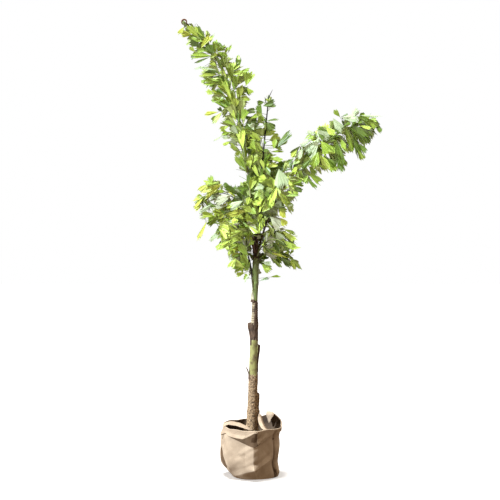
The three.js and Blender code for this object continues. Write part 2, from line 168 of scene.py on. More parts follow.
corners = np.array([(-1, -1, 0), (1, -1, 0), (1, 1, 0), (-1, 1, 0)]) * FLOOR_HALF * MM
floor_mesh = bpy.data.meshes.new("floor")
floor_mesh.from_pydata(corners.tolist(), [], [(0, 1, 2, 3)])
floor_mesh.materials.append(backdrop_paper)
floor = bpy.data.objects.new("floor", floor_mesh)
bpy.context.scene.collection.objects.link(floor)
floor.visible_diffuse = False  # the sheet throws no light back up, which would fill the shade

sheet_only = bpy.data.collections.new("lit_by_the_sheet_lamp")
sheet_only.objects.link(floor)
all_but_sheet = bpy.data.collections.new("kept_from_the_other_lamps")
all_but_sheet.objects.link(floor)
all_but_sheet.collection_objects[0].light_linking.link_state = "EXCLUDE"
add_lamp("main_lamp", **MAIN_LAMP).light_linking.receiver_collection = all_but_sheet
add_lamp("overhead_lamp", **OVERHEAD_LAMP).light_linking.receiver_collection = all_but_sheet
fill_lamp = add_lamp("fill_lamp", **FILL_LAMP)
sheet_lamp = add_lamp("sheet_lamp", **SHEET_LAMP)
sheet_lamp.light_linking.receiver_collection = sheet_only

# %% [markdown]
# Tools for making meshes
#
# Bag, stem and leaflets are all grids of points: rows one way and columns the other, with
# a face between each four neighbours. Modelling by hand could do the same, but a grid in
# an array can be bent by a formula all at once. Thin limbs are tubes swept along a path.
# Chance is drawn from a numbered dice, so every run gives the same plant.

# %% Grids, tubes and pieces
def smooth(value, low, high):
    """Rises softly from 0 at low to 1 at high."""
    share = np.clip((np.asarray(value, float) - low) / (high - low), 0, 1)
    return share * share * (3 - 2 * share)


def dice(seed):
    """Repeatable chance between 0 and 1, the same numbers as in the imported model's source."""
    state = seed
    mask = 0xFFFFFFFF

    def roll():
        nonlocal state
        state = (state + 0x6D2B79F5) & mask
        t = ((state ^ (state >> 15)) * (state | 1)) & mask
        t ^= (t + ((t ^ (t >> 7)) * (t | 61) & mask)) & mask
        return ((t ^ (t >> 14)) & mask) / 4294967296

    return roll


def uneven(points, size, seed=0):
    """Smooth unevenness from -1 to 1 over points, with lumps of about this size."""
    scaled = np.asarray(points, float) / size + 1000
    corner = np.floor(scaled).astype(np.int64)
    share = scaled - corner
    share = share * share * (3 - 2 * share)
    total = 0
    for step in np.ndindex(2, 2, 2):
        x, y, z = (corner[..., k] + step[k] for k in range(3))
        mixed = (x * 73856093) ^ (y * 19349663) ^ (z * 83492791) ^ (seed * 26544357)
        mixed = ((mixed ^ (mixed >> 13)) * 1274126177) & 0xFFFFFFFF
        value = ((mixed ^ (mixed >> 16)) & 0xFFFF) / 65535
        weight = 1
        for k in range(3):
            weight = weight * (share[..., k] if step[k] else 1 - share[..., k])
        total = total + weight * value
    return 2 * total - 1


def grid_faces(rows, columns, closed=False):
    """The faces of a grid of points; a closed one joins its last column to its first."""
    across = columns if closed else columns - 1
    row, column = np.meshgrid(np.arange(rows - 1), np.arange(across), indexing="ij")
    after = (column + 1) % columns
    low, high = row * columns, (row + 1) * columns
    return np.stack((low + column, low + after, high + after, high + column), -1).reshape(-1, 4)


def tube(path, radii, sides=6, flat=1.0, up=(0, 0, 1)):
    """A tube along a path with a radius at each point; flat squeezes it across."""
    path = np.asarray(path, float)
    along = np.gradient(path, axis=0)
    along /= np.linalg.norm(along, axis=1)[:, None]
    side = np.cross(along, up)
    lengths = np.linalg.norm(side, axis=1)
    side[lengths < 0.05] = (0, 1, 0)
    side -= along * (side * along).sum(1)[:, None]
    side /= np.linalg.norm(side, axis=1)[:, None]
    rise = np.cross(side, along)
    turn = np.arange(sides) / sides * 2 * np.pi
    radii = np.broadcast_to(radii, len(path))[:, None, None]
    ring = side[:, None] * np.cos(turn)[:, None] + rise[:, None] * (np.sin(turn) * flat)[:, None]
    points = path[:, None] + ring * radii
    return points.reshape(-1, 3), grid_faces(len(path), sides, closed=True)


def join(parts):
    """One set of points, faces and material numbers from several (points, faces, number) parts."""
    points, faces, numbers, start = [], [], [], 0
    for part_points, part_faces, number in parts:
        points.append(part_points)
        faces.append(part_faces + start)
        numbers.append(np.broadcast_to(number, len(part_faces)))
        start += len(part_points)
    return np.concatenate(points), np.concatenate(faces), np.concatenate(numbers)


def make_piece(name, points, faces, materials, numbers=0, stands_for=(), sharp=35):
    """An object from points in millimetres; edges that bend more than sharp degrees stay crisp."""
    mesh = bpy.data.meshes.new(name)
    mesh.from_pydata(np.asarray(points) * MM, [], np.asarray(faces))
    for material in materials:
        mesh.materials.append(material)
    mesh.polygons.foreach_set("material_index", np.broadcast_to(numbers, len(mesh.polygons)).astype(np.int32))
    mesh.polygons.foreach_set("use_smooth", np.ones(len(mesh.polygons), bool))
    mesh.set_sharp_from_angle(angle=math.radians(sharp))
    mesh.update()
    piece = bpy.data.objects.new(name, mesh)
    bpy.context.scene.collection.objects.link(piece)
    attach(piece, "root")
    if stands_for:
        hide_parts(*stands_for)
    print(name, len(mesh.polygons), "faces")
    return piece


def thicken(piece, thickness):
    """Gives a sheet its thickness in millimetres, half to each side."""
    solid = piece.modifiers.new("thickness", "SOLIDIFY")
    solid.thickness = thickness * MM
    solid.offset = 0


sample = dice(1)
print("first rolls of dice number 1:", [round(sample(), 3) for _ in range(3)])

# %% [markdown]
# Kraft paper
#
# The bag is unbleached kraft paper: long brown wood fibres pressed to a stiff sheet. It is
# matt, a little mottled, and turns pale along a crease where the fibres break. Paper could
# be one flat tan, but it would read as plastic. Here soft patches and short fibre flecks
# vary the colour, and a worn tone is laid where the mesh says that a fold runs.

# %% Make the paper
FIBRE_FLECK = 4                # real flecks are 1 to 2 mm; drawn coarser so that they show
PAPER_PATCH = 70               # cloudiness of the pulp
CRUMPLE = 18                   # small dents from handling
# The brown that painted shade mixes in, in deep folds and gaps and under the cuff
FOLD_PAINTED_SHADE = "4A3010"


def paper_material(name, pale, tan, worn, roughness):
    """Creased kraft paper in two tones, with a paler one along its folds and painted shade where its
    fold_shade numbers say.
    """
    material, tree, shader = new_material(name, {"Roughness": roughness, "IOR": 1.5})
    place = add(tree, "TexCoord").outputs["Object"]
    patch = add(tree, "TexNoise", {"Vector": place, "Scale": 1 / (PAPER_PATCH * MM), "Detail": 3})
    fleck = add(tree, "TexNoise", {"Vector": place, "Scale": 1 / (FIBRE_FLECK * MM), "Detail": 4})
    blend = add(tree, "MapRange", {"Value": patch.outputs[0], "From Min": 0.35, "From Max": 0.65})
    base = add(tree, "Mix", {0: blend.outputs[0], 6: linear(pale), 7: linear(tan)}, data_type="RGBA")
    grain = add(tree, "MapRange", {"Value": fleck.outputs[0], "From Min": 0.3, "From Max": 0.7,
                                   "To Min": 0.93, "To Max": 1.06})
    shade = add(tree, "VectorMath", {0: base.outputs[2], 3: grain.outputs[0]}, operation="SCALE")
    fold = add(tree, "Attribute", attribute_name="fold_wear").outputs["Fac"]
    rubbed = add(tree, "Math", {0: fold, 1: 0.55}, operation="MULTIPLY")
    creased = add(tree, "Mix", {0: rubbed.outputs[0], 6: shade.outputs[0], 7: linear(worn)}, data_type="RGBA")
    # Painted shade: fold_shade darkens the paper towards the fold shade brown in gaps and under the cuff
    deep = add(tree, "Attribute", attribute_name="fold_shade").outputs["Fac"]
    shade_share = add(tree, "Math", {0: deep, 1: 0.96}, operation="MULTIPLY")
    colour = add(tree, "Mix", {0: shade_share.outputs[0], 6: creased.outputs[2], 7: linear(FOLD_PAINTED_SHADE)},
                 data_type="RGBA")
    tree.links.new(colour.outputs[2], shader.inputs["Base Color"])
    crumple = add(tree, "TexNoise", {"Vector": place, "Scale": 1 / (CRUMPLE * MM), "Detail": 5,
                                     "Roughness": 0.6})
    soft = add(tree, "Bump", {"Height": crumple.outputs[0], "Strength": 0.35, "Distance": 2.2 * MM})
    rough = add(tree, "Bump", {"Height": fleck.outputs[0], "Strength": 0.2, "Distance": 0.3 * MM,
                               "Normal": soft.outputs[0]})
    tree.links.new(rough.outputs[0], shader.inputs["Normal"])
    return material


# Dry kraft is pressed and left uncoated: the eye gets a matt warm tan, finely speckled, paler on
# its creases; the brown in its deepest folds and under the cuff is painted shade
kraft_paper = paper_material("kraft_paper_creased", "B49C82", "A58D74", "CDB69B", 0.82)
# Against wet soil the same paper has drawn up its brown: the eye gets a dark, dull lining
stained_paper = paper_material("kraft_paper_soil_stained", "56422F", "3E2E20", "765E47", 0.9)
print("paper flecks", FIBRE_FLECK, "mm, patches", PAPER_PATCH, "mm")

# %% [markdown]
# The bag
#
# The bag is one sheet: it rises from its foot to the rim, turns over and hangs outside as a
# folded cuff that ends in a point at the front. Upright creases stand between flatter
# panels, and one deep pleat runs down the right. The bag could be a turned vase with a
# wrinkled surface, but its outline would stay round. So its radius is a formula of height
# and angle, in which each crease is a tent: highest on its line and falling off straight
# to both sides, as stiff paper does.

# %% Shape of the bag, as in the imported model
BAG_FOOT = 122
BAG_BELLY = 156
BAG_BELLY_HEIGHT = 105
BAG_MOUTH = 149
BAG_WALL = 2.5
BAG_SHIFT = -9
RIM_HEIGHT = 256
SOIL_EDGE = 204
CUFF_PROUD = 4
BAG_CREASES = ((-86, 8, 38), (-24, 9, 30), (42, 8, 36), (104, 7, 32), (162, 9, 34), (222, 7, 30))
BAG_PLEAT = (-37, 9, 10)
BAG_LIP = (25, 16, 50)
# The foot draws in on the left and stands out on the right, where the wall leans in higher up.
# Each: how far out, the height where it starts, where it is full, its side and half its width
FOOT_PUSHES = ((-22, 70, 10, 188, 62), (-14, 160, 70, -10, 62), (30, 90, 4, -24, 50))
RIM_RISE_BEHIND = 14
RIM_FLAPS = ((48, 40, 34), (200, 6, 25))       # torn flaps: side, height and half width
CUFF_EDGE = 232                # height of the cuff's low edge between its points
CUFF_FRONT = (-82, 62, 66, 44)                 # front point: side, depth, half widths left and right
CUFF_POINTS = ((75, 34, 60), (180, 24, 40))    # the others: side, depth and half width


def turned(angle, at):
    """How far an angle is from another, from -180 to 180 degrees."""
    return (angle - at + 540) % 360 - 180


def tent(angle, at, half_width):
    """1 at an angle, falling to 0 over a half width, all in degrees."""
    return np.maximum(0, 1 - np.abs(turned(angle, at)) / half_width)


def bag_radius(height, angle):
    """The bag's radius at a height and an angle in degrees."""
    low = np.clip(height / BAG_BELLY_HEIGHT, 0, 1)
    radius = BAG_FOOT + (BAG_BELLY - BAG_FOOT) * np.sin(low * np.pi / 2) ** 0.8
    radius = radius + (BAG_MOUTH - BAG_BELLY) * smooth(height, BAG_BELLY_HEIGHT, RIM_HEIGHT)
    strength = smooth(height, 0, 60)
    at, out, wide = BAG_LIP
    radius = radius + out * tent(angle, at, wide) * smooth(height, SOIL_EDGE, RIM_HEIGHT)
    for at, high, wide in BAG_CREASES:
        radius = radius + high * (tent(angle, at, wide) - 0.1) * strength
    for out, start, full, at, wide in FOOT_PUSHES:
        radius = radius + out * smooth(-height, -start, -full) * tent(angle, at, wide)
    at, deep, wide = BAG_PLEAT
    return radius - deep * tent(angle, at, wide) * strength


def bag_points(height, angle, inset=0.0):
    """Points on the bag, inset towards its axis."""
    radius = bag_radius(height, angle) - inset
    shift = BAG_SHIFT * smooth(height, 0, BAG_BELLY_HEIGHT) * (1 - smooth(height, SOIL_EDGE, RIM_HEIGHT))
    turn = np.radians(angle)
    return np.stack(np.broadcast_arrays(shift + radius * np.cos(turn), radius * np.sin(turn), height), -1)


def rim_height(angle):
    """The rim stands higher behind, with a torn flap behind on the right."""
    height = RIM_HEIGHT + RIM_RISE_BEHIND * smooth(np.sin(np.radians(angle)), -0.2, 0.7)
    for at, high, wide in RIM_FLAPS:
        height = height + high * tent(angle, at, wide)
    return height + 1.6 * np.sin(np.radians(5 * angle + 40)) + 1.1 * np.sin(np.radians(11 * angle))


def cuff_height(angle):
    """The folded-over paper hangs in a point at the front and in shallow points elsewhere."""
    at, deep, left, right = CUFF_FRONT
    hang = deep * tent(angle, at, np.where(turned(angle, at) < 0, left, right))
    for at, deep, wide in CUFF_POINTS:
        hang = hang + deep * tent(angle, at, wide)
    return CUFF_EDGE - hang


belly = bag_radius(BAG_BELLY_HEIGHT, np.arange(0, 360, 60))
print("bag radius at its belly, every 60 degrees:", belly.round())

# %% [markdown]
# Folds
#
# Slanting folds cross the panels, and a few narrow gaps between deep folds get no light at
# all. Cloth simulation suits soft fabric but rounds off stiff paper, so the folds are
# placed: each is a line over the unrolled sheet with a height and a width, added to the
# bag's radius. A line that stands out is rubbed pale, and a gap is written down as shade,
# because the opening behind it is finer than the mesh.

# %% Folds in the paper
UNROLLED_RADIUS = 150          # the sheet is unrolled at this radius
WORN_HALF_WIDTH = 3.5          # how far a fold is rubbed to each side
CRUMPLE_WAVES = 9
CRUMPLE_RISE = 0.016           # height of a wave as a share of its length
# Each fold: from (angle, height) to (angle, height), how far it stands out, half its width
FOLDS = [
    ((-84, 250), (-85, 58), 13, 40), ((-85, 58), (-78, 6), 9, 30),
    ((-83, 58), (-44, 108), 5, 22), ((-84, 58), (-128, 18), 5, 26),
    ((-108, 138), (-90, 168), 2, 16), ((-118, 120), (-98, 128), -1.6, 18),
    ((-34, 240), (-33, 30), -15, 7), ((-24, 226), (-27, 30), 4, 14),
    ((-44, 108), (-38, 20), -3, 14), ((-170, 140), (-144, 56), -8, 16),
    ((-163, 152), (-140, 60), 3.5, 16), ((-150, 58), (-132, 12), 3, 20),
    ((-60, 226), (-84, 180), 2.5, 18), ((-74, 226), (-84, 196), -4, 12),
    ((-97, 224), (-84, 196), -3.5, 12), ((-140, 230), (-96, 190), 2, 16),
    ((20, 200), (38, 60), 4, 24), ((42, 60), (75, 20), 4, 26), ((60, 180), (98, 110), 3.5, 24),
    ((104, 200), (100, 12), 5, 30), ((104, 110), (150, 60), 3.5, 26), ((132, 190), (140, 120), -4, 14),
    ((162, 200), (166, 14), 5, 30), ((190, 170), (214, 90), -3.5, 16), ((166, 60), (206, 30), 3, 24),
    ((8, 150), (-6, 40), -4, 14), ((70, 214), (52, 120), -3, 16),
]
# Gaps between folds that get painted shade, for openings finer than the mesh: from their point to their wide
# end, and half their width there
DARK_GAPS = [
    ((-180, 160), (-150, 46), 26), ((-34, 250), (-33, 10), 4.5),
    ((-36, 112), (-33, -24), 11), ((-160, 228), (-170, 190), 5),
]


def from_line(angle, height, start, end):
    """How far points of the unrolled sheet are from a line, in millimetres, and their share along it."""
    run = np.array((math.radians(end[0] - start[0]) * UNROLLED_RADIUS, end[1] - start[1]))
    x = np.radians(turned(angle, start[0])) * UNROLLED_RADIUS
    y = height - start[1]
    share = np.clip((x * run[0] + y * run[1]) / (run @ run), 0, 1)
    return np.hypot(x - share * run[0], y - share * run[1]), share


def fold_lift(angle, height):
    """How far the folds push the paper out, how worn it is along them, and how much painted shade the deep
    ones get.
    """
    lift = np.zeros(np.broadcast(angle, height).shape)
    wear = np.zeros_like(lift)
    shade = np.zeros_like(lift)
    for start, end, wide in DARK_GAPS:
        away, share = from_line(angle, height, start, end)
        half_width = 2.6 * wide * share * np.sqrt(1 - share)  # 2.6 makes its widest place equal to wide
        shade = np.maximum(shade, np.clip((half_width - away) / 3 + 0.2, 0, 1))
    for start, end, high, wide in FOLDS:
        away, share = from_line(angle, height, start, end)
        near = np.maximum(0, 1 - away / wide)
        lift += high * near * smooth(height, 0, 22)
        worn = np.maximum(0, 1 - away / WORN_HALF_WIDTH) * min(1, abs(high) / 4) * (high > 0)
        wear = np.maximum(wear, worn)
    roll = dice(5)
    for _ in range(CRUMPLE_WAVES):
        tilt, long, start = roll() * math.pi, 34 + 70 * roll(), roll()
        around = round(math.cos(tilt) * 2 * math.pi * UNROLLED_RADIUS / long)
        phase = around * angle / 360 + math.sin(tilt) * height / long + start
        lift += CRUMPLE_RISE * long * (np.abs(phase % 1 - 0.5) * 2 - 0.5) * smooth(height, 4, 60)
    return lift, wear, shade


print(len(FOLDS), "folds,", len(DARK_GAPS), "dark gaps and", CRUMPLE_WAVES, "crumple waves")

# %% [markdown]
# One sheet from foot to lining
#
# The mesh is one grid whose rows run from the middle of the floor up the side, out to the
# cuff's low edge, up the cuff, over the rim and down inside to the soil. The paper that
# the cuff hides is left out. At the front left the cuff's turned-in edge hangs lower and
# faces down, and painted shade darkens it to a slanting brown facet. The whole cuff gets a
# little painted shade as well, where its tilt turns it to the lamp. Wear and painted shade
# ride on the mesh as two numbers at each point, which the paper reads.

# %% Fold the bag from one sheet
BAG_COLUMNS = 288
SIDE_ROWS, CUFF_ROWS, LINING_ROWS = 44, 20, 16
CUFF_PAINTED_SHADE = 0.1              # painted shade: the cuff is drawn a little darker, as its tilt turns it to the lamp
RIM_ROUND = 3                  # radius of the paper's turn at the rim
LINING_LOW = 190               # the lining ends below the soil's edge
SIDE_LOW = 8                   # height of the side's first row, above the bag's rounded foot
# The cuff's turned-in edge, by angle: how far it hangs below the cuff, and how much painted shade darkens it
EDGE_HANG = (-148, -131, -117, -105, -99, -92, -86, -80, -77), (4, 6, 13, 21, 34, 54, 74, 76, 6)
EDGE_SHADE = (-140, -120, -104, -92), (0.5, 0.76, 0.86, 0.95)
angles = np.arange(BAG_COLUMNS) / BAG_COLUMNS * 360 - 180
high_edge = rim_height(angles)
band = np.interp(angles, *EDGE_HANG) + 5 * tent(angles, 80, 50)
band_shade = np.interp(angles, *EDGE_SHADE) * (angles < -70)
low_edge = cuff_height(angles) + 1.5 * np.sin(np.radians(9 * angles)) + band
# How far the cuff's low edge stands off the bag
stand_off = 5 + 5 * tent(angles, -112, 40) + 2 * tent(angles, 75, 50)

rows, wear_rows, shade_rows, inside = [], [], [], []


def add_bag_row(height, inset, is_inside=False, painted_shade=0.0):
    """One row of the bag round all columns, with the folds' lift added and at least this much painted shade.
    """
    height = np.broadcast_to(height, angles.shape).astype(float)
    lift, wear, shade = fold_lift(angles, height)
    rows.append(bag_points(height, angles, inset - lift))
    wear_rows.append(wear)
    shade_rows.append(np.maximum(shade * (not is_inside), painted_shade))
    inside.append(is_inside)


bag_foot = bag_points(np.zeros(BAG_COLUMNS), angles, 7)
for share in (0.02, 0.4, 0.8, 0.97):
    rows.append(bag_foot * (share, share, 0) + (0, 0, 0.4))
    wear_rows.append(np.zeros(BAG_COLUMNS))
    shade_rows.append(np.zeros(BAG_COLUMNS))
    inside.append(False)
add_bag_row(0.6, 6)
add_bag_row(3, 2)
for share in np.linspace(0, 1, SIDE_ROWS):
    add_bag_row(SIDE_LOW + (low_edge - band - SIDE_LOW) * share, 0)
for share in (0.03, 0.35, 0.7, 0.96):
    add_bag_row(low_edge - band * (1 - share), -stand_off * share, painted_shade=band_shade)
for share in np.linspace(0, 1, CUFF_ROWS):
    proud = stand_off + (CUFF_PROUD - stand_off) * smooth(share, 0, 0.5)
    add_bag_row(low_edge + (high_edge - RIM_ROUND - low_edge) * share, -proud, painted_shade=CUFF_PAINTED_SHADE)
for turn_over in (35, 90, 145):
    tilt = math.radians(turn_over)
    inset = -CUFF_PROUD * (1 + math.cos(tilt)) / 2 + BAG_WALL / 2 * (1 - math.cos(tilt))
    add_bag_row(high_edge - RIM_ROUND + RIM_ROUND * math.sin(tilt), inset)
for share in np.linspace(0, 1, LINING_ROWS):
    height = high_edge - RIM_ROUND + (LINING_LOW - high_edge + RIM_ROUND) * share
    add_bag_row(height, BAG_WALL, is_inside=True)

sheet_points = np.stack(rows)
sheet_faces = grid_faces(len(rows), BAG_COLUMNS, closed=True)
stained = np.repeat(inside[1:], BAG_COLUMNS).astype(int)
bag = make_piece("paper_bag", sheet_points.reshape(-1, 3), sheet_faces, [kraft_paper, stained_paper], stained,
                 stands_for=("wrap",), sharp=13)
for layer_name, layer_rows in (("fold_wear", wear_rows), ("fold_shade", shade_rows)):
    layer = bag.data.attributes.new(layer_name, "FLOAT", "POINT")
    layer.data.foreach_set("value", np.stack(layer_rows).ravel().astype(np.float32))

shades_sheet = bpy.data.collections.new("shades_the_sheet")
shades_sheet.objects.link(bag)
sheet_lamp.light_linking.blocker_collection = shades_sheet

# %% [markdown]
# Loose paper
#
# The paper over the ball is untidy: a tongue of it is folded in over the soil on the left,
# a torn strip stands up beside the stem, and a torn curl hangs over the back wall. Each is
# a small sheet laid through a few edges, thickened a little, because torn paper shows its
# edge. They could be cut from the bag's own mesh, but they lie across it in folds of their own.

# %% Loose tongues and torn strips
PAPER_THICK = 1.4
SHEET_COLUMNS = 40


def loose_sheet(name, edges, across=14, bulge=0.0, crumple=2.0, ragged=0.0, seed=1):
    """A sheet of paper that runs from edge to edge, each given by a few points."""
    share = np.linspace(0, 1, SHEET_COLUMNS)
    curves = []
    for edge in edges:
        edge = np.asarray(edge, float)
        knots = np.linspace(0, 1, len(edge))
        fine = np.stack([np.interp(share, knots, edge[:, k]) for k in range(3)], -1)
        for _ in range(6):
            fine[1:-1] = (fine[:-2] + 2 * fine[1:-1] + fine[2:]) / 4
        curves.append(fine)
    curves = np.stack(curves)
    place = np.linspace(0, len(edges) - 1, across)
    points = np.empty((across, SHEET_COLUMNS, 3))
    for row, at in enumerate(place):
        k = min(int(at), len(edges) - 2)
        points[row] = curves[k] + (curves[k + 1] - curves[k]) * (at - k)
        points[row, :, 2] += bulge * math.sin(math.pi * row / (across - 1))
    points[..., 2] += crumple * uneven(points, 26, seed) + 0.5 * crumple * uneven(points, 11, seed + 1)
    points[-1, :, :] += ragged * uneven(points[-1], 7, seed + 2)[:, None] * np.array((0.6, 0.4, 1))
    faces = grid_faces(across, SHEET_COLUMNS)
    thicken(make_piece(name, points.reshape(-1, 3), faces, [kraft_paper]), PAPER_THICK)


loose_sheet("paper_tongue", [
    [(-146, -42, 262), (-118, -78, 276), (-70, -104, 270), (-14, -128, 254)],
    [(-146, 0, 268), (-108, -34, 284), (-58, -62, 276), (4, -104, 250)],
    [(-138, 34, 262), (-92, 10, 274), (-52, -22, 262), (8, -74, 236)],
], bulge=3, crumple=3, seed=3)
loose_sheet("paper_strip_by_stem", [
    [(58, -132, 258), (46, -96, 262), (34, -56, 278), (30, -36, 300), (34, -28, 322)],
    [(76, -126, 256), (64, -92, 264), (52, -52, 284), (46, -32, 304), (44, -22, 320)],
    [(92, -112, 236), (82, -82, 244), (68, -42, 262), (58, -22, 284), (52, -12, 304)],
], across=8, crumple=2, ragged=5, seed=8)
loose_sheet("paper_curl_behind", [
    [(78, 118, 312), (92, 112, 314), (108, 104, 312), (118, 96, 306)],
    [(74, 104, 300), (88, 96, 300), (104, 90, 298), (114, 84, 294)],
    [(80, 106, 282), (86, 98, 262), (94, 92, 256), (98, 88, 276)],
], across=10, crumple=2, ragged=6, seed=12)

# %% [markdown]
# Soil
#
# The ball is moist potting soil: dark crumbs of peat and bark with pale roots through it.
# A bump alone would look flat where the light grazes it, so the surface is really uneven,
# and the crumbs are added as a bump on top.

# %% Make the soil
CRUMB = 5                      # peat crumbs, millimetres
LUMP = 16                      # lumps of peat and bark
SOIL_COLUMNS = 120

# Potting soil is sieved peat and bark, kept moist: the eye gets a dull black brown with fine specks
soil, tree, shader = new_material("potting_soil_moist", {"Roughness": 0.95, "IOR": 1.4})
place = add(tree, "TexCoord").outputs["Object"]
crumbs = add(tree, "TexVoronoi", {"Vector": place, "Scale": 1 / (CRUMB * MM)})
lumps = add(tree, "TexNoise", {"Vector": place, "Scale": 1 / (LUMP * MM), "Detail": 6})
dark = add(tree, "Mix", {0: lumps.outputs[0], 6: linear("3A2A1E"), 7: linear("5E4632")}, data_type="RGBA")
speck = add(tree, "MapRange", {"Value": crumbs.outputs[0], "From Min": 0.0, "From Max": 0.6,
                               "To Min": 1.25, "To Max": 0.55})
mixed = add(tree, "VectorMath", {0: dark.outputs[2], 3: speck.outputs[0]}, operation="SCALE")
tree.links.new(mixed.outputs[0], shader.inputs["Base Color"])
raised = add(tree, "Bump", {"Height": crumbs.outputs[0], "Strength": 0.9, "Distance": 2.5 * MM}, invert=True)
tree.links.new(raised.outputs[0], shader.inputs["Normal"])

STEM_FOOT = 218
SOIL_RINGS = 30
soil_angles = np.arange(SOIL_COLUMNS) / SOIL_COLUMNS * 360 - 180
soil_rows = [bag_points(np.full(SOIL_COLUMNS, float(low)), soil_angles, 20) for low in range(30, 181, 25)]
soil_edge_row = bag_points(np.full(SOIL_COLUMNS, float(SOIL_EDGE)), soil_angles, 4)
soil_rows.append(soil_edge_row)
for share in np.linspace(0.98, 0.01, SOIL_RINGS):
    ring = soil_edge_row * (share, share, 1)
    ring[:, 2] = SOIL_EDGE + (STEM_FOOT - SOIL_EDGE) * smooth(1 - share, 0, 0.7)
    rough = 5 * uneven(ring, 34, 4) + 3 * uneven(ring, 12, 5) + 1.6 * uneven(ring, 5, 6)
    ring[:, 2] += rough * smooth(share, 0.12, 0.3)
    soil_rows.append(ring)
soil_points = np.concatenate(soil_rows)
soil_faces = grid_faces(len(soil_rows), SOIL_COLUMNS, closed=True)
make_piece("soil_ball", soil_points, soil_faces, [soil], stands_for=("root_ball",), sharp=60)

# %% [markdown]
# Stem
#
# The lower stem is fibrous: old leaf sheaths have rotted to a net of brown threads over
# pale wood, thickest at the foot. Above it the sheaths still clasp the stem in turn, one
# waxy and green, one dry and torn, until the green crownshaft carries the fronds. Bark
# could be painted on a smooth tube, but the outline would stay ruler straight. The mesh
# here has a point every three millimetres and real relief, and each zone its own finish.

# %% Finishes of the stem
# Real threads are under 1 mm wide; the grain is drawn 2.5 to 3.5 mm wide so that it shows
def stem_material(name, tones, grain, stretch, roughness, relief, patch=24):
    """Plant fibre in three tones. grain is the width of its streaks in mm, stretch their length over it,
    and patch the size in mm of the spots in the third tone."""
    material, tree, shader = new_material(name, {"Roughness": roughness, "IOR": 1.45})
    place = add(tree, "TexCoord").outputs["Object"]
    drawn = add(tree, "Mapping", {"Vector": place, "Scale": (1, 1, 1 / stretch)})
    streak = add(tree, "TexNoise", {"Vector": drawn.outputs[0], "Scale": 1 / (grain * MM), "Detail": 5,
                                    "Roughness": 0.6})
    blotch = add(tree, "TexNoise", {"Vector": place, "Scale": 1 / (patch * MM), "Detail": 3})
    first = add(tree, "MapRange", {"Value": streak.outputs[0], "From Min": 0.38, "From Max": 0.62})
    low = add(tree, "Mix", {0: first.outputs[0], 6: linear(tones[0]), 7: linear(tones[1])}, data_type="RGBA")
    second = add(tree, "MapRange", {"Value": blotch.outputs[0], "From Min": 0.45, "From Max": 0.68})
    full = add(tree, "Mix", {0: second.outputs[0], 6: low.outputs[2], 7: linear(tones[2])}, data_type="RGBA")
    tree.links.new(full.outputs[2], shader.inputs["Base Color"])
    raised = add(tree, "Bump", {"Height": streak.outputs[0], "Strength": relief, "Distance": 0.8 * MM})
    tree.links.new(raised.outputs[0], shader.inputs["Normal"])
    return material


# Rotted sheaths, felted by weather: the eye gets a rough brown net over pale wood
stem_fibre = stem_material("stem_dry_fibre", ("C6A882", "72553A", "36261A"), 3.5, 1.6, 0.9, 1.0, patch=8)
# A living sheath that grew a coat of wax: the eye gets a smooth olive band with a soft gloss
sheath_green = stem_material("leaf_sheath_waxy_green", ("A8A468", "8A864C", "6C5C3C"), 3, 20, 0.42, 0.15)
# A dead sheath that dried where it clasps: the eye gets dull dark brown, streaked along the stem
sheath_dry = stem_material("leaf_sheath_dried", ("715844", "4A382B", "33261D"), 3, 8, 0.88, 0.8)
# Old stem skin, bleached by the sun: the eye gets a weathered straw tone
sheath_pale = stem_material("leaf_sheath_bleached", ("BEAE8C", "988668", "6E5C46"), 3, 5, 0.85, 0.5)
# A torn skin of sheath, dried as thin as paper: the eye gets a pale cream flap
sheath_bleached = stem_material("leaf_sheath_papery", ("CFC6A6", "AEA684", "8C8266"), 3, 8, 0.75, 0.4)
# Young sheaths rolled into one shaft and waxed as they grow: the eye gets a clean satin green
shaft_green = stem_material("crownshaft_waxy_green", ("8A9A5A", "768646", "6A7040"), 3, 24, 0.4, 0.12)
# Threads that the sheaths leave, woven by their growth: the eye gets a dark, matt net
throat_fibre = stem_material("throat_fibre_net", ("664A33", "453122", "2C2017"), 2.5, 3, 0.92, 1.0)
stem_zones = [stem_fibre, sheath_green, sheath_dry, sheath_pale]
print("finishes of the stem from the soil up:", [zone.name for zone in stem_zones])

# %% [markdown]
# The stem's shape
#
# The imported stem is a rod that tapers, leans a little and flares at its foot, with a
# shallow step where each old sheath ended. It could be sculpted, but a formula can be
# changed zone by zone. So the same formula gives the radius at every point, and each
# zone's relief is added to it. The rod is cut in three lengths that meet edge to edge.

# %% Shape of the stem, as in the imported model
STEM_TOP = 900
SHAFT_TOP = 1108
HEART_TOP = 1226
STEM_LEAN = 20
STEM_RADIUS_TOP = 13.8
STEM_TAPER = 15
FLARE = 8
FLARE_HEIGHT = 22
STEM_RINGS = (342, 522, 702, 792)
SHAFT_RINGS = (1002,)
STEM_COLUMNS = 96
STEM_STEP = 3


def stem_centre(height):
    """How far the stem's middle line is to the side at a height."""
    return STEM_LEAN * (height - STEM_FOOT) / (SHAFT_TOP - STEM_FOOT)


def stem_radius(height, turn):
    """The stem's radius at a height and an angle in radians, without its relief."""
    rise = smooth(height, STEM_TOP, STEM_TOP + 150)
    upper = STEM_RADIUS_TOP - 1 + 3 * rise - 2 * smooth(height, SHAFT_TOP, HEART_TOP)
    low = np.clip((STEM_TOP - height) / (STEM_TOP - STEM_FOOT), 0, 1.1) ** 0.85
    flare = FLARE * np.exp(-(height - STEM_FOOT) / FLARE_HEIGHT)
    lower = STEM_RADIUS_TOP + STEM_TAPER * low + flare * (0.75 + 0.4 * np.cos(5 * turn + 1))
    return np.where(height > STEM_TOP, upper, lower)


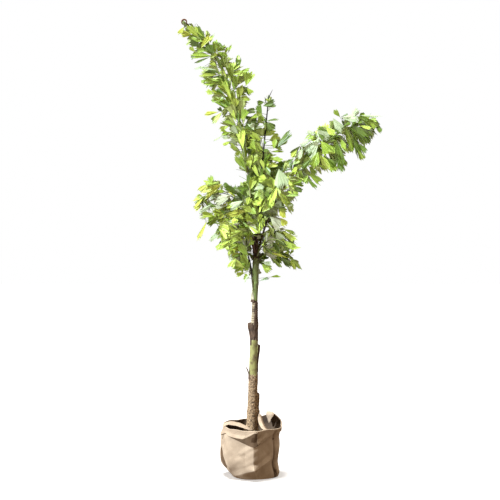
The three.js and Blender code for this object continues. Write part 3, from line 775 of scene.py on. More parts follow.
def stem_grid(start, end, rings):
    """Angles, heights and points of a length of the stem, with a step below each ring."""
    heights = np.linspace(start, end, int((end - start) / STEM_STEP) + 1)[:, None]
    turn = (np.arange(STEM_COLUMNS) / STEM_COLUMNS * 2 * np.pi)[None]
    around = np.stack(np.broadcast_arrays(30 * np.cos(turn), 30 * np.sin(turn), heights), -1)
    radius = stem_radius(heights, turn)
    for ring in rings:
        edge = ring + 5 * uneven(around * (1, 1, 0), 14, ring) + 3 * uneven(around * (1, 1, 0), 6, ring)
        radius = radius + 1.6 * smooth(heights, ring - 60, ring) * (heights < edge)
    return turn, heights, around, radius


def stem_piece(name, heights, turn, radius, materials, numbers, node):
    """A closed length of the stem from its radius at each height and angle."""
    centre = stem_centre(heights)
    points = np.stack(np.broadcast_arrays(centre + radius * np.cos(turn), radius * np.sin(turn), heights), -1)
    face_numbers = numbers[:-1].ravel()
    return make_piece(name, points.reshape(-1, 3), grid_faces(len(heights), STEM_COLUMNS, closed=True),
                      materials, face_numbers, stands_for=(node,), sharp=50)


print("stem radius at the soil and at its top:",
      [round(float(stem_radius(float(height), 0)), 1) for height in (STEM_FOOT, STEM_TOP)])

# %% [markdown]
# Zones of the stem
#
# From the soil upwards: a fibrous length with a net of threads, a waxy green sheath with
# an old brown strip on its right, a dried sheath whose torn top stands away, and a pale
# length ringed by the scars of small leaves. A mask for each zone, with a ragged edge,
# picks both the relief and the finish, so the two always agree.

# %% Fibrous foot, green middle and dry upper part of the stem
WOODY_TOP, GREEN_TOP, DRY_TOP = 520, 702, 788
STRIP_TOP = 682                # the old brown strip on the green sheath
RING_SPACING = 12              # scars of small leaves on the pale length
turn, heights, around, radius = stem_grid(208, STEM_TOP, STEM_RINGS)
angle = np.degrees(turn) % 360
ragged = 9 * uneven(around * (1, 1, 0.2), 9, 21) + 4 * uneven(around * (1, 1, 0.2), 4, 22)
woody = heights < WOODY_TOP + ragged
green = ~woody & (heights < GREEN_TOP + ragged * 0.6)
dry = (heights >= GREEN_TOP + ragged * 0.6) & (heights < DRY_TOP + ragged)
upper = ~woody & ~green & ~dry
right_side = tent(angle, 325, 78) > 0.12 + 0.14 * uneven(around, 16, 23)
strip_side = tent(angle, 350, 44) > 0.3 + 0.1 * uneven(around, 22, 24)
old_strip = green & strip_side & (heights < STRIP_TOP + ragged)

net = np.sin(around[..., 2] / 2.6 + 9 * turn) + np.sin(around[..., 2] / 2.9 - 8 * turn + 1)
bark = 1.3 * uneven(around, 22, 25) + 1.1 * uneven(around * (1, 1, 0.45), 8, 26)
bark = bark + 0.5 * uneven(around * (1, 1, 0.6), 4, 27) + 0.28 * net
ring_wave = np.sin(around[..., 2] / RING_SPACING * 2 * np.pi)
rings = 0.8 * ring_wave + 0.5 * uneven(around * (1, 1, 0.4), 7, 28)
torn = 1.5 * uneven(around * (1, 1, 0.2), 7, 29) + 0.8 * uneven(around * (1, 1, 0.3), 3.5, 30)
radius = radius + np.where(woody, bark, 0) + np.where(dry, 1.6 + torn, 0) + np.where(upper, rings + 1, 0)
radius = radius + np.where(old_strip, 1.3 + 0.5 * torn, 0) + np.where(upper & right_side, 0.8 + 0.5 * torn, 0)
radius = radius + np.where(green & ~old_strip, 0.8 + 0.25 * uneven(around, 30, 31), 0)

# Old sheaths stand away at their torn tops, and the foot spreads to the left
radius = radius + np.where(dry, 16 * smooth(heights, 706, 796) ** 1.5 * tent(angle, 192, 70), 0)
radius = radius + np.where(old_strip, 12 * smooth(heights, 580, 686) ** 1.6 * tent(angle, 355, 60), 0)
radius = radius + np.where(heights < 424 + ragged, 9 * smooth(heights, 225, 300) * tent(angle, 352, 36), 0)
radius = radius + 17 * np.exp(-(heights - STEM_FOOT) / 34) * tent(angle, 200, 84)

numbers = np.zeros(radius.shape, int)
for number, zone in enumerate((green, dry, upper), 1):
    numbers[np.broadcast_to(zone, radius.shape)] = number
numbers[old_strip | (upper & (right_side | (ring_wave < -0.7)))] = 2
stem_piece("stem", heights, turn, radius, stem_zones, numbers, "trunk")

# %% [markdown]
# Crownshaft and throat
#
# The youngest sheaths clasp each other as a smooth green shaft, and a bleached flap of the
# one below still clings to its foot. Above it the fronds leave a throat wrapped in dark
# fibre, which ends in a blunt tip among the ribs. Both use the stem's grid and relief, as
# they are the same stem further up, only younger.

# %% Crownshaft and its fibrous throat
SHAFT_FOOT = 908               # ragged lower edge of the green shaft
GREEN_REACH = 1122             # the shaft's green runs up into the throat to here
BLUNT_TIP = 30                 # length over which the throat closes
turn, heights, around, radius = stem_grid(STEM_TOP - 2, SHAFT_TOP, SHAFT_RINGS)
foot_edge = heights < SHAFT_FOOT + 8 * uneven(around * (1, 1, 0), 12, 32)
radius = radius + 0.3 * uneven(around, 26, 33) + np.where(foot_edge, 0.4, 1.4)
# A bleached flap of the sheath below it still clings to the shaft's foot on the left
flap = 1 - (heights - SHAFT_FOOT) / (58 + 12 * uneven(around * (1, 1, 0), 8, 37))
flap = flap * tent(np.degrees(turn), 196, 74)
radius = radius + np.where(flap > 0.18, 3 + 9 * (flap - 0.18), 0)
numbers = np.where(foot_edge, 1, np.where(flap > 0.18, 2, 0))
stem_piece("crownshaft_sheath", heights, turn, radius, [shaft_green, sheath_dry, sheath_bleached], numbers,
           "crownshaft")

turn, heights, around, radius = stem_grid(SHAFT_TOP - 2, HEART_TOP, ())
radius = radius + 1.2 * uneven(around * (1, 1, 0.4), 9, 34) + 0.8 * uneven(around * (1, 1, 0.3), 4, 35)
closing = np.sqrt(np.clip((HEART_TOP + 1 - heights) / BLUNT_TIP, 0.02, 1))
radius = radius * np.where(heights > HEART_TOP - BLUNT_TIP, closing, 1)
green_part = heights < GREEN_REACH + 14 * uneven(around * (1, 1, 0.1), 8, 36)
stem_piece("throat", heights, turn, radius, [throat_fibre, shaft_green], np.where(green_part, 1, 0),
           "crown_heart")

# %% [markdown]
# Old leaf bases
#
# Where a leaf has dried and broken off, its base stays as a channelled scale that clasps
# the stem, with a torn tip that stands away. Each is a narrow sheet bent across its width,
# swept up over the stem's own surface, with its top edge cut into ragged points. A cone
# would sit on the stem like a thorn, where this one wraps it.

# %% Make the scales
# Each: number, foot height, side in degrees, length, half width, how far the tip stands off
OLD_BASES = (
    (1, 676, 186, 116, 15, 17), (2, 538, -8, 144, 11, 11),
    (3, 502, 196, 64, 14, 15), (4, 262, -12, 166, 10, 8),
)
SCALE_ROWS, SCALE_COLUMNS = 26, 15
SCALE_THICK = 2.2

for index, height, azimuth, length, half_width, off in OLD_BASES:
    facing = math.radians(azimuth)
    share = np.linspace(0, 1, SCALE_ROWS)[:, None]
    across = np.linspace(-1, 1, SCALE_COLUMNS)[None]
    tear = 0.14 * np.abs(((across[0] * 2.2 + index * 0.37) % 1) - 0.5) * 2 + 0.08 * np.cos(5 * across[0])
    up = height + length * share * (1 - tear - 0.3 * np.abs(across) ** 2)
    width = half_width * (1.1 - 0.75 * share ** 1.5)
    spin = facing + across * width / stem_radius(np.array(float(height)), facing)
    lean = off * smooth((up - height) / length, 0.1, 1) ** 1.3
    reach = stem_radius(up, spin) + 1.6 + lean * (1 - 0.3 * across ** 2)
    points = np.stack((stem_centre(up) + reach * np.cos(spin), reach * np.sin(spin), up), -1)
    outwards = np.array((math.cos(facing), math.sin(facing), 0))
    points += outwards * (0.8 * uneven(points * (1, 1, 0.3), 5, 40 + index))[..., None]
    faces = grid_faces(SCALE_ROWS, SCALE_COLUMNS)
    scale = make_piece(f"old_leaf_scale_{index}", points.reshape(-1, 3), faces, [sheath_dry],
                       stands_for=(f"old_leaf_base_{index}",))
    thicken(scale, SCALE_THICK)

# %% [markdown]
# Roots and loose fibres
#
# Thin roots leave the stem's foot and dive into the soil, and the throat is wrapped in
# threads of old sheath. Hair would be lost when the model is handed on, so each thread is
# a thin tube along a short wandering path.

# %% Grow the threads
def thread(start, heading, length, bend, roll, steps=7):
    """A wandering path from a point; bend is how far each step may turn."""
    point, heading = np.array(start, float), np.array(heading, float)
    path = [point.copy()]
    for _ in range(steps):
        heading = heading + bend * np.array([roll() - 0.5, roll() - 0.5, roll() - 0.5])
        heading /= np.linalg.norm(heading)
        point = point + heading * length / steps
        path.append(point.copy())
    return np.array(path)


def by_stem(height, spin, off):
    """A point that stands off the stem's surface, at a height and an angle in radians."""
    reach = stem_radius(height, spin) + off
    return stem_centre(height) + reach * math.cos(spin), reach * math.sin(spin), height


ROOT_COUNT = 46
THREAD_COUNT = 90
roll = dice(61)
root_parts = []
for _ in range(ROOT_COUNT):
    spin = roll() * 2 * math.pi
    start = by_stem(STEM_FOOT + 6 + 22 * roll(), spin, -1)
    path = thread(start, (math.cos(spin) * 0.8, math.sin(spin) * 0.8, -0.7), 30 + 34 * roll(), 0.7, roll)
    path[:, 2] = np.maximum(path[:, 2], STEM_FOOT - 5)
    path[-1, 2] -= 8
    thick = 0.8 + 1.3 * roll()
    root_parts.append((*tube(path, np.linspace(thick, 0.5, len(path)), 5), 0))
points, faces, numbers = join(root_parts)
make_piece("surface_roots", points, faces, [sheath_pale], numbers)

fibre_parts = []
for _ in range(THREAD_COUNT):
    spin = roll() * 2 * math.pi
    start = by_stem(SHAFT_TOP - 4 + 108 * roll(), spin, 0.3)
    forth, right = math.cos(spin), math.sin(spin)
    heading = (0.25 * forth - 0.6 * right, 0.25 * right + 0.6 * forth, 0.9 - 1.2 * roll())
    path = thread(start, heading, 24 + 34 * roll(), 0.6, roll)
    fibre_parts.append((*tube(path, np.linspace(0.9, 0.35, len(path)), 4), 0))
points, faces, numbers = join(fibre_parts)
make_piece("throat_threads", points, faces, [throat_fibre], numbers)

# %% [markdown]
# Fronds
#
# A fishtail palm's leaf is twice divided: side ribs leave the main rib, and each carries a
# few leaflets that widen from a thin foot to a torn, slanting end like a fish's tail. The
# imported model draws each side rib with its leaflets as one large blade. Here the same rule
# and the same dice place those side ribs again, and each is carried on to its own leaflets
# inside the reach of that blade. Instances would be lost on the way out, so all leaflets
# of a frond are worked out as arrays and joined.

# %% The main ribs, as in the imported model
FROND_KEYS = ("name", "foot", "length", "azimuth", "pitch", "ease", "bare", "gap", "blade", "grow", "spread",
              "sag", "seed", "thick")
FRONDS = [dict(zip(FROND_KEYS, values)) for values in (
    ("tall_left", (14, 4, 1207), 1210, 180, (85, 42), 2.6, 0.17, 10.5, 150, (0.85, 1.15, 0.5), 66, 0.02,
     11, 5),
    ("tall_right", (26, 2, 1140), 975, 7, (77, 18), 1.2, 0.3, 10.5, 146, (0.85, 1.1, 0.8), 66, 0.25, 22, 5.5),
    ("spear", (21, 1, 1207), 760, 2, (86, 84), 1, 0.2, 13, 120, (1.15, 1, 0.6), 60, 0.1, 33, 4),
    ("arch_left", (9, -4, 1152), 505, 188, (87, -52), 2.1, 0.24, 8.5, 122, (1, 1.05, 0.65), 66, 0.5, 44, 4.5),
    ("low_left", (8, 0, 962), 385, 183, (84, -60), 3.2, 0.2, 8.5, 122, (1.05, 1, 0.7), 74, 0.55, 55, 4.5),
    ("low_right", (30, -6, 1162), 240, -18, (72, -50), 1.15, 0.2, 8.5, 116, (1, 1, 0.7), 66, 0.4, 66, 4),
    ("lowest_right", (30, 4, 1110), 215, 14, (60, -38), 0.8, 0.18, 8.5, 98, (1, 1, 0.7), 66, 0.3, 67, 4),
    ("low_front", (25, -9, 1132), 270, 306, (64, -30), 1, 0.18, 9, 100, (1, 1, 0.8), 66, 0.3, 71, 4),
    ("front_left", (17, -10, 1152), 455, 237, (74, -30), 1, 0.16, 9, 130, (0.9, 1, 0.8), 66, 0.4, 77, 4.5),
    ("front_right", (24, -8, 1177), 540, 294, (82, 5), 1, 0.14, 9, 130, (0.95, 1.05, 0.8), 66, 0.3, 78, 4.5),
    ("back", (20, 9, 1187), 610, 80, (82, 20), 1, 0.18, 10, 140, (0.8, 1, 0.9), 66, 0.3, 88, 4.5),
    ("back_low", (14, 8, 1147), 440, 122, (70, -40), 1, 0.16, 10, 130, (0.9, 1, 0.9), 66, 0.3, 99, 4.5),
)]
RIB_STEP = 10
RIB_TIP = 1.6


def rib_path(frond):
    """Points, directions and sides along a rib whose pitch changes as it grows."""
    steps = max(4, int(frond["length"] / RIB_STEP + 0.5))
    eased = ((np.arange(steps) + 0.5) / steps) ** frond["ease"]
    pitch = np.radians(frond["pitch"][0] + (frond["pitch"][1] - frond["pitch"][0]) * eased)
    azimuth = math.radians(frond["azimuth"])
    level = np.cos(pitch)
    tangents = np.stack((level * math.cos(azimuth), level * math.sin(azimuth), np.sin(pitch)), -1)
    strides = np.cumsum(tangents * frond["length"] / steps, axis=0)
    points = np.concatenate(([frond["foot"]], np.array(frond["foot"]) + strides))
    side = np.array((-math.sin(azimuth), math.cos(azimuth), 0))
    return points, tangents, side


def on_rib(path, share):
    """The point and direction at a share of a rib's length."""
    points, tangents, side = path
    steps = len(tangents)
    k = min(steps - 1, int(share * steps))
    return points[k] + (points[k + 1] - points[k]) * (share * steps - k), tangents[k]


paths = {frond["name"]: rib_path(frond) for frond in FRONDS}
for frond in FRONDS:
    print(frond["name"], "ends at", paths[frond["name"]][0][-1].round())

# %% [markdown]
# Side ribs
#
# Side ribs leave the main rib at even steps, each turned by the golden angle from the last,
# so they stand all round it. They could be scattered, but then the fronds would no longer
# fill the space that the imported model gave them. So the rule and the dice are the packed
# model's own, down to the rolls that it spent on its blades' width and hand.

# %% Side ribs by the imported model's rule
LEAFLET_GROWTH = 1.12
LEAFLET_SPACING = 1.58
DROOP = 0.16
SPREAD_LOSS = 0.35
GOLDEN_ANGLE = 137.508


def side_ribs(frond):
    """The side ribs of a frond, each a foot, a direction, a normal and a length."""
    roll = dice(frond["seed"])
    path = paths[frond["name"]]
    ribs = []
    at = frond["bare"] * frond["length"]
    first, middle, last = frond["grow"]
    while at < frond["length"]:
        base, tangent = on_rib(path, at / frond["length"])
        side = path[2]
        rise = np.cross(tangent, side)
        rise = rise if rise[2] >= 0 else -rise
        grown = (at / frond["length"] - frond["bare"]) / (1 - frond["bare"])
        size = first + (middle - first) * grown * 2
        if grown >= 0.5:
            size = middle + (last - middle) * (grown * 2 - 1)
        length = frond["blade"] * LEAFLET_GROWTH * size * (1 + 0.18 * (2 * roll() - 1))
        roll()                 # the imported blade's width
        turn = math.radians(len(ribs) * GOLDEN_ANGLE + 25 * (2 * roll() - 1))
        spread = math.radians(frond["spread"] * (1 - SPREAD_LOSS * grown) + 10 * (2 * roll() - 1))
        twist = math.radians(22 * (2 * roll() - 1))
        roll()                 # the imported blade's hand
        out = tangent * math.cos(spread) + math.sin(spread) * (side * math.cos(turn) + rise * math.sin(turn))
        out[2] -= frond["sag"]
        out /= np.linalg.norm(out)
        level = tangent - out * (tangent @ out)
        level /= np.linalg.norm(level)
        across = level * math.cos(twist) + np.cross(out, level) * math.sin(twist)
        ribs.append(dict(base=base, out=out, normal=np.cross(out, across), length=length))
        at += frond["gap"] * LEAFLET_SPACING
    return ribs


print("side ribs in all:", sum(len(side_ribs(frond)) for frond in FRONDS))

# %% [markdown]
# One leaflet
#
# The outline is a fan of veins from a thin foot: short at the shoulder, longest at the
# tail, with the torn end between them cut into teeth. The blade is pleated along the
# veins like a half open fan, and both sides are modelled, because the upper side is
# yellow-green and glossy while the underside is paler and dull. A flat card with a cut-out
# picture would be lighter, but it has no thickness and no pleats to catch the light.

# %% Leaf shapes
VEINS = 11
ROW_SHARES = (0, 0.16, 0.42, 0.72, 1.0)        # rows from foot to end, closer where the blade opens
LEAF_ROWS = len(ROW_SHARES)
LEAF_SHAPES = 8
LEAF_THICK = 0.7


def leaf_shape(seed):
    """Shares of length and width, and the pleats' lift as a share of width, for a grid of veins."""
    roll = dice(seed)
    vein = np.linspace(0, 1, VEINS)
    tail = 0.66 + 0.16 * roll()
    near, far_side = 0.6 + 0.16 * roll(), 0.7 + 0.12 * roll()
    far = np.interp(vein, (0, 0.3, tail - 0.14, tail, 1), (near, near + 0.14, 0.84, 1, far_side))
    lobes = 2.5 + 2 * roll()
    far *= 1 - (0.1 + 0.14 * roll()) * np.abs(np.sin(np.pi * (lobes * vein + roll()))) ** 3
    for k in range(VEINS):
        far[k] *= 1 - 0.06 * roll()
    share = np.array(ROW_SHARES)[:, None]
    opened = 0.7 * share + 0.3 * smooth(share, 0, 0.6)
    a = share * far[None]
    b = (vein[None] - 0.5) * opened + (vein[None] - 0.5) * 0.03
    pleats = 0.045 * np.abs((vein * 3 + roll()) % 1 - 0.5) * 4 - 0.045
    cup = (0.08 + 0.16 * roll()) * np.abs(2 * vein - 0.9) ** 1.3
    lift = (pleats + cup)[None] * opened
    return a, b, lift


leaf_shapes = [leaf_shape(100 + k) for k in range(LEAF_SHAPES)]

# Faces of one leaflet: its upper side, its underside and the thin edge between them
top_faces = grid_faces(LEAF_ROWS, VEINS)
under_faces = top_faces[:, ::-1] + LEAF_ROWS * VEINS
border = [*range(VEINS), *range(2 * VEINS - 1, LEAF_ROWS * VEINS, VEINS),
          *range(LEAF_ROWS * VEINS - 2, (LEAF_ROWS - 1) * VEINS - 1, -1),
          *range((LEAF_ROWS - 2) * VEINS, 0, -VEINS)]
edge_faces = np.array([(b, a, a + LEAF_ROWS * VEINS, b + LEAF_ROWS * VEINS)
                       for a, b in zip(border, border[1:] + border[:1])])
leaf_faces = np.concatenate((top_faces, under_faces, edge_faces))
print("faces in a leaflet", len(leaf_faces))

# %% [markdown]
# Leaf tissue
#
# A young palm leaflet is a smooth, slightly waxy blade. Its upper side takes a soft gloss,
# its underside has a grey bloom. The tones differ from spray to spray, fresh ones nearly
# yellow and old ones deep green, so several plain tones are dealt out by side rib. Within
# a blade only fine streaks along the veins and a slow change of tone remain. Light that
# shines through a real blade is left out, so the fresh tones are chosen a little paler.

# %% Make the leaf tissues
VEIN_STREAKS = 9               # across a blade; real veins are 1 mm apart, drawn coarser so that they show
TONE_PATCH = 60                # slow change of tone over a spray, millimetres


def leaf_material(name, tone, other, roughness, streak_strength):
    """Leaf tissue in two close tones, streaked along its veins by the leaflet's own layout."""
    material, tree, shader = new_material(name, {"Roughness": roughness, "IOR": 1.42})
    layout = add(tree, "UVMap", uv_map="blade").outputs[0]
    place = add(tree, "TexCoord").outputs["Object"]
    drawn = add(tree, "Mapping", {"Vector": layout, "Scale": (VEIN_STREAKS, 0.7, 1)})
    streak = add(tree, "TexNoise", {"Vector": drawn.outputs[0], "Scale": 2.2, "Detail": 2})
    patch = add(tree, "TexNoise", {"Vector": place, "Scale": 1 / (TONE_PATCH * MM), "Detail": 2})
    both = add(tree, "Math", {0: streak.outputs[0], 1: patch.outputs[0]}, operation="ADD")
    blend = add(tree, "MapRange", {"Value": both.outputs[0], "From Min": 0.75, "From Max": 1.25})
    colour = add(tree, "Mix", {0: blend.outputs[0], 6: linear(tone), 7: linear(other)}, data_type="RGBA")
    tree.links.new(colour.outputs[2], shader.inputs["Base Color"])
    raised = add(tree, "Bump", {"Height": streak.outputs[0], "Strength": streak_strength, "Distance": 1 * MM})
    tree.links.new(raised.outputs[0], shader.inputs["Normal"])
    return material


# Upper sides grow a thin coat of wax: the eye gets a soft gloss, yellow green on fresh sprays
# and deep green on old ones
leaf_upper = [
    leaf_material("leaf_fresh_yellow_green", "AEBE52", "8C9E38", 0.42, 0.3),
    leaf_material("leaf_mid_green", "92A63C", "6C8628", 0.4, 0.3),
    leaf_material("leaf_deep_green", "5E7422", "435814", 0.38, 0.3),
    leaf_material("leaf_turning_yellow", "B0B446", "949C30", 0.48, 0.3),
]
# Undersides grow a powdery bloom: the eye gets a paler and duller green, silvery where it is thick
leaf_under = [
    leaf_material("leaf_underside_green", "AAB66C", "88964A", 0.55, 0.3),
    leaf_material("leaf_underside_silver_green", "A4B08A", "8C9A72", 0.6, 0.25),
    leaf_material("leaf_underside_grey_brown", "AAAC8E", "949878", 0.65, 0.25),
]
# Tissue that died on the plant and dried as it curled: the eye gets a matt red brown
leaf_dried = leaf_material("leaf_dried_brown", "7A4A24", "4E2A14", 0.7, 0.4)
# Ribs are smooth round rods whose skin reddens and darkens with age: the eye gets a satin stalk
# that stands out against the blades
rib_finishes = [
    leaf_material("rib_pale_green", "AAA775", "96945F", 0.45, 0.2),
    leaf_material("rib_fresh_green", "75823D", "636F32", 0.45, 0.2),
    leaf_material("rib_red_brown", "6A4732", "4F3425", 0.55, 0.3),
    leaf_material("rib_dark_brown", "241C18", "15110E", 0.55, 0.3),
]
LEAF_FINISHES = leaf_upper + leaf_under + [leaf_dried]
FIRST_UNDER = len(leaf_upper)
print(len(LEAF_FINISHES), "leaf finishes and", len(rib_finishes), "rib finishes")

# %% [markdown]
# Where the leaves are
#
# A rule alone gives a crown of the right kind but not this one. So the leaflets that stand
# out are placed one by one, as they appear from the front in the plane of the stem.
# Each still grows on a stalk from its frond's rib, so that the crown also holds together
# from the sides. The rule fills in all the others, at the back too.

